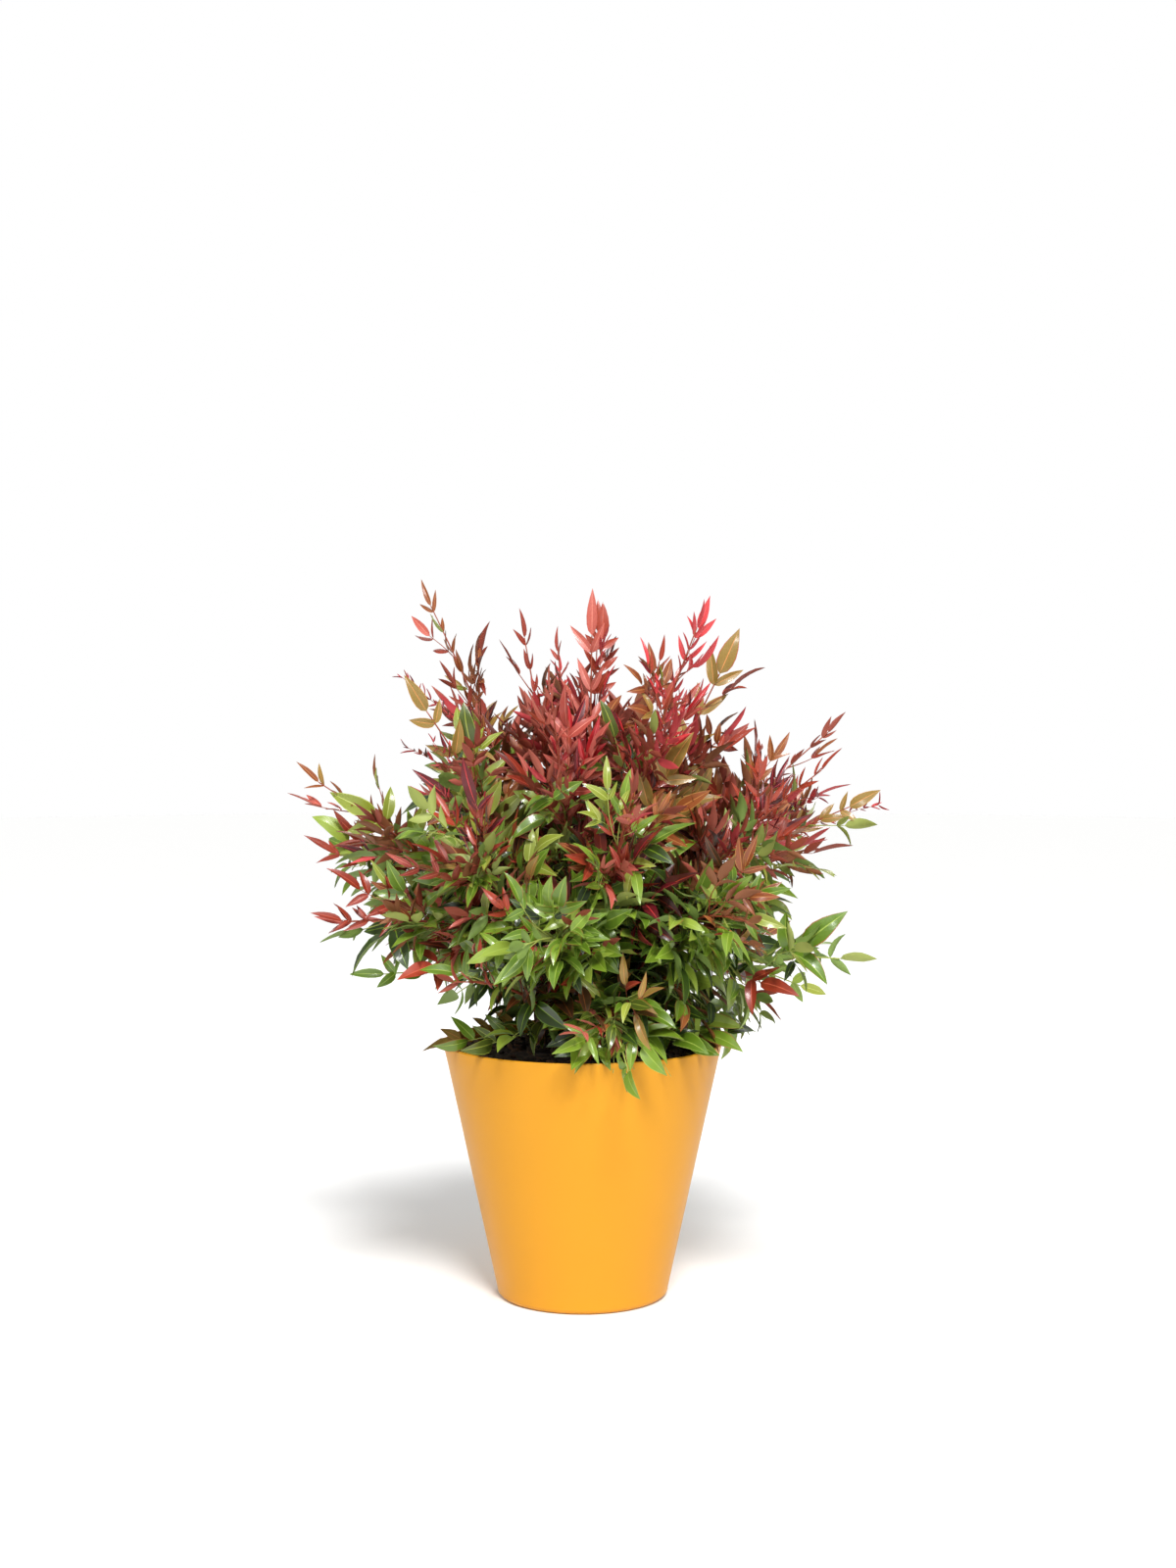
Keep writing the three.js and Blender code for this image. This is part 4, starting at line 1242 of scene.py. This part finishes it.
class HEAVENLY_BAMBOO_OT_potting_mix(bpy.types.Operator):
    """The lumpy surface of the potting mix, with chips of bark on it"""

    bl_idname = "heavenly_bamboo.potting_mix"
    bl_label = "Potting mix"

    def execute(self, context):
        edge_z, low = MIX_TOP - MIX_RISE, mix_low.z
        side = np.linspace(low, edge_z - 2 * MM, 5)
        top = np.linspace(outer_radius(edge_z) - PLANTER_WALL - MIX_GAP, 2 * MM, 70)
        radii = np.concatenate([[0], outer_radius(side) - PLANTER_WALL - MIX_GAP, top, [0]])
        heights = np.concatenate([[low], side, np.full(len(top), edge_z), [edge_z]])
        flat = np.concatenate([np.zeros(len(side)), np.ones(len(top))])[:, None]

        def wobble(x, y):
            share = flat if x.ndim == 2 else 1
            return share * (mix_height(x, y) - edge_z)

        points, faces = turned_surface(radii, heights, 150, wobble)
        piece = new_piece("mix_surface", points, faces, [peat_and_bark("peat_and_bark")])
        finish_piece(piece, ["potting_mix"])
        self.scatter_chips()
        return {"FINISHED"}

    def scatter_chips(self):
        """Chips of bark: a flattened ball whose radius is squared off and made uneven by chance,
        stretched to a slab, laid on the surface and tilted."""
        luck = np.random.default_rng(5)
        count, rings, sides = CHIPS, 4, 7
        reach = outer_radius(MIX_TOP) - PLANTER_WALL - CHIPS_INSET
        azimuth = luck.uniform(0, math.tau, count)
        radius = reach * np.sqrt(luck.random(count))
        x, y = radius * np.cos(azimuth), radius * np.sin(azimuth)
        centre = np.stack([x, y, mix_height(x, y) + CHIP_LIFT], -1)
        sizes = [luck.uniform(*span, count) * MM for span in CHIP_SIZES]
        latitude = np.linspace(-math.pi / 2, math.pi / 2, rings + 2)[1:-1, None]
        longitude = np.linspace(0, math.tau, sides, endpoint=False)
        ball = np.cos(latitude) * np.cos(longitude), np.cos(latitude) * np.sin(longitude)
        ball = np.stack([*ball, np.sin(latitude) + 0 * longitude], -1).reshape(-1, 3)
        ball = np.sign(ball) * np.abs(ball) ** CHIP_SQUARED
        ball = np.concatenate([ball, [[0, 0, -1], [0, 0, 1]]])
        uneven = luck.uniform(*CHIP_UNEVEN, (count, len(ball), 1))
        local = ball * np.stack(sizes, -1)[:, None] * uneven
        spin, tilt = luck.uniform(0, math.tau, count), luck.normal(0, CHIP_TILT, count)
        lying = np.stack([np.cos(spin) * np.cos(tilt), np.sin(spin) * np.cos(tilt), np.sin(tilt)], -1)
        level = np.stack([-np.sin(spin), np.cos(spin), 0 * spin], -1)
        axes = np.stack([lying, level, np.cross(lying, level)], 1)
        points = centre[:, None] + local @ axes
        faces = [repeated(part, count, len(ball)) for part in tube_faces(rings, sides)]
        browns = ("#3a291d", "#4d3625", "#23180f", "#5f4431")
        chips = [bark_chip(f"bark_chip_{n + 1}", brown) for n, brown in enumerate(browns)]
        tone = luck.integers(0, len(chips), count)
        kinds = np.concatenate([np.repeat(tone, len(part) // count) for part in faces])
        piece = new_piece("bark_chips", points.reshape(-1, 3), faces, chips, kinds)
        finish_piece(piece, ["potting_mix"])


class HEAVENLY_BAMBOO_OT_canes(bpy.types.Operator):
    """The canes: furrowed bark and the rings that old leaf sheaths left"""

    bl_idname = "heavenly_bamboo.canes"
    bl_label = "Canes"

    def execute(self, context):
        shoots = [shoot for shoot in make_shoots() if shoot.start]
        luck = np.random.default_rng(11)
        count, stations, sides = len(shoots), 72, 20
        share = np.linspace(0, 1, stations)
        points = np.array([shoot.curve.at(shoot.start * share) for shoot in shoots])
        across = np.array([shoot.curve.across() for shoot in shoots])
        points[:, 0, 2] -= CANE_SUNK  # the foot goes into the mix
        angle = np.linspace(0, math.tau, sides, endpoint=False)
        flare = CANE_FLARE * np.clip(1 - share / FLARED_SHARE, 0, 1) ** 2
        taper = mixed(CANE_FOOT, CANE_TIP, share) + flare
        phase = luck.uniform(0, math.tau, (count, 1, 1))
        ribs = sum(
            rise * np.sin(number * angle + wind * share[:, None] + shift * phase)
            for rise, number, wind, shift in CANE_RIBS
        )
        rough = luck.normal(0, BARK_ROUGHNESS, (count, stations, sides))
        ring_at = (share * luck.uniform(*SHEATHS, (count, 1)) + luck.random((count, 1))) % 1
        sheath = SHEATH_RISE * np.exp(-SHEATH_FALL * (1 - ring_at)) * (ring_at < SHEATH_END)
        radii = taper[:, None] * (1 + ribs + rough + sheath[..., None])
        skin, faces = tube_surfaces(points, radii, across, sides)
        piece = new_piece("canes", skin, faces, [cane_bark("cane_bark")])
        finish_piece(piece, ["cane_" + shoot.name for shoot in shoots])
        return {"FINISHED"}


def grown_crown(context):
    settings = context.scene.heavenly_bamboo_foliage
    return grow(settings.leaflet, settings.rounds, settings.overlap)


class HEAVENLY_BAMBOO_OT_stalks(bpy.types.Operator):
    """Stems and rachises: green on the old sprays, red-brown on the young ones"""

    bl_idname = "heavenly_bamboo.stalks"
    bl_label = "Stems and rachises"

    def execute(self, context):
        red = "#97462e", "leaf_brick", set(SLOTS) - GREEN_TINTS
        kinds = {"red": red, "green": ("#9ba64c", "leaf_green", GREEN_TINTS)}
        for kind, (colour, slot, tints) in kinds.items():
            grown = grown_crown(context).stalks[kind]
            skins, quads, caps, shift = [], [], [], 0
            for count in sorted({len(stalk.points) for stalk in grown}):
                stalks = columns_of([stalk for stalk in grown if len(stalk.points) == count])
                radii = mixed(stalks.foot[:, None], stalks.tip[:, None], np.linspace(0, 1, count))
                tubes = tube_surfaces(stalks.points, radii, stalks.across, STALK_SIDES[count])
                skins.append(tubes[0])
                quads.append(tubes[1][0] + shift)
                caps.append(tubes[1][1] + shift)
                shift += len(tubes[0])
            points, *faces = map(np.concatenate, (skins, quads, caps))
            skin = young_stalk(f"{kind}_rachis", colour)
            piece = new_piece(f"{kind}_stalks", points, faces, [skin])
            finish_piece(piece, masses(tints))
        return {"FINISHED"}


class HEAVENLY_BAMBOO_OT_leaflets(bpy.types.Operator):
    """The leaflets, one piece or two for each of the record's leaf slots"""

    bl_idname = "heavenly_bamboo.leaflets"
    bl_label = "Leaflets"

    def execute(self, context):
        for slot, grown in grown_crown(context).leaves.items():
            skins = self.leaf_skins(slot)
            parts = np.array_split(np.arange(len(grown)), 1 + len(grown) // MOST_LEAFLETS)
            for n, rows in enumerate(parts, 1):
                name = f"{slot}_leaflets" + (f"_{n}" if len(parts) > 1 else "")
                self.join(name, slot, columns_of([grown[row] for row in rows]), skins)
        return {"FINISHED"}

    def leaf_skins(self, slot):
        """A slot's blades, its midrib, its underside and its two margins."""
        skins = [
            waxy_leaf(f"{slot}_leaf_{n}", colour, 0.36, GLOSS[slot])
            for n, colour in enumerate(BLADES[slot], 1)
        ]
        skins.append(waxy_leaf(f"{slot}_midrib", RIBS[slot], 0.42))
        skins.append(waxy_leaf(f"{slot}_underside", UNDERSIDES[slot], 0.55))
        if slot in PALE_MARGINS:
            skins.append(waxy_leaf(f"{slot}_margin", PALE_MARGINS[slot], 0.42))
            skins.append(waxy_leaf(f"{slot}_flushed_margin", FLUSHED_MARGINS[slot], 0.42))
        return skins

    def join(self, name, slot, leaves, skins):
        """One piece of many leaflets. A dark leaflet's margin and midrib are dull too, so that where
        the dark blade is painted shade deep in the crown the whole leaflet is dark.
        """
        columns = MARGINED_COLUMNS if slot in PALE_MARGINS else PLAIN_COLUMNS
        points = leaf_surfaces(leaves, columns)
        count, stride = points.shape[:2]
        quads, triangles, kinds, place, edge = leaf_pattern(columns)
        shade = leaves.shade[:, None]
        number = np.where(kinds == BLADE, shade, len(BLADES[slot]) + kinds - RIB)
        number = number + (leaves.flushed[:, None] & (kinds == MARGIN))
        # painted shade: leaflets with the darkest blade, most of them deep in the crown, get a dull
        # margin and midrib as well
        dark = shade == DARKEST
        number = np.where(dark & (kinds == MARGIN), 0, number)
        number = np.where(dark & (kinds == RIB), 1, number)
        number = np.concatenate([part.ravel() for part in np.split(number, [len(quads)], 1)])
        corners = np.concatenate([np.tile(part.ravel(), count) for part in (quads, triangles)])
        faces = [repeated(part, count, stride) for part in (quads, triangles)]
        surface = place[corners], np.tile(edge, count)
        piece = new_piece(name, points.reshape(-1, 3), faces, skins, number, *surface)
        finish_piece(piece, masses({slot}))


class HEAVENLY_BAMBOO_PT_panel(bpy.types.Panel):
    bl_idname = "HEAVENLY_BAMBOO_PT_panel"
    bl_label = "Heavenly Bamboo"
    bl_space_type = "VIEW_3D"
    bl_region_type = "UI"
    bl_category = "Heavenly Bamboo"

    def draw(self, context):
        for group in SETTINGS:
            settings = getattr(context.scene, group)
            for name in settings.__annotations__:
                self.layout.prop(settings, name)
        for operator in OPERATORS:
            self.layout.operator(operator.bl_idname)


SETTINGS = {
    "heavenly_bamboo_planter": PlanterSettings,
    "heavenly_bamboo_foliage": FoliageSettings,
    "heavenly_bamboo_stage": StageSettings,
}
OPERATORS = (
    HEAVENLY_BAMBOO_OT_stage,
    HEAVENLY_BAMBOO_OT_planter,
    HEAVENLY_BAMBOO_OT_potting_mix,
    HEAVENLY_BAMBOO_OT_canes,
    HEAVENLY_BAMBOO_OT_stalks,
    HEAVENLY_BAMBOO_OT_leaflets,
)


def register():
    for cls in (*SETTINGS.values(), *OPERATORS, HEAVENLY_BAMBOO_PT_panel):
        bpy.utils.register_class(cls)
    for name, group in SETTINGS.items():
        setattr(bpy.types.Scene, name, bpy.props.PointerProperty(type=group))


def unregister():
    for name in SETTINGS:
        delattr(bpy.types.Scene, name)
    for cls in (HEAVENLY_BAMBOO_PT_panel, *OPERATORS, *SETTINGS.values()):
        bpy.utils.unregister_class(cls)


def main():
    register()
    for operator in OPERATORS:
        group, name = operator.bl_idname.split(".")
        getattr(getattr(bpy.ops, group), name)()
    boxes = {"cad": CAD_BOX, "visual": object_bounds()}
    boxes = {key: [list(map(float, corner)) for corner in box] for key, box in boxes.items()}


if __name__ == "__main__":
    main()
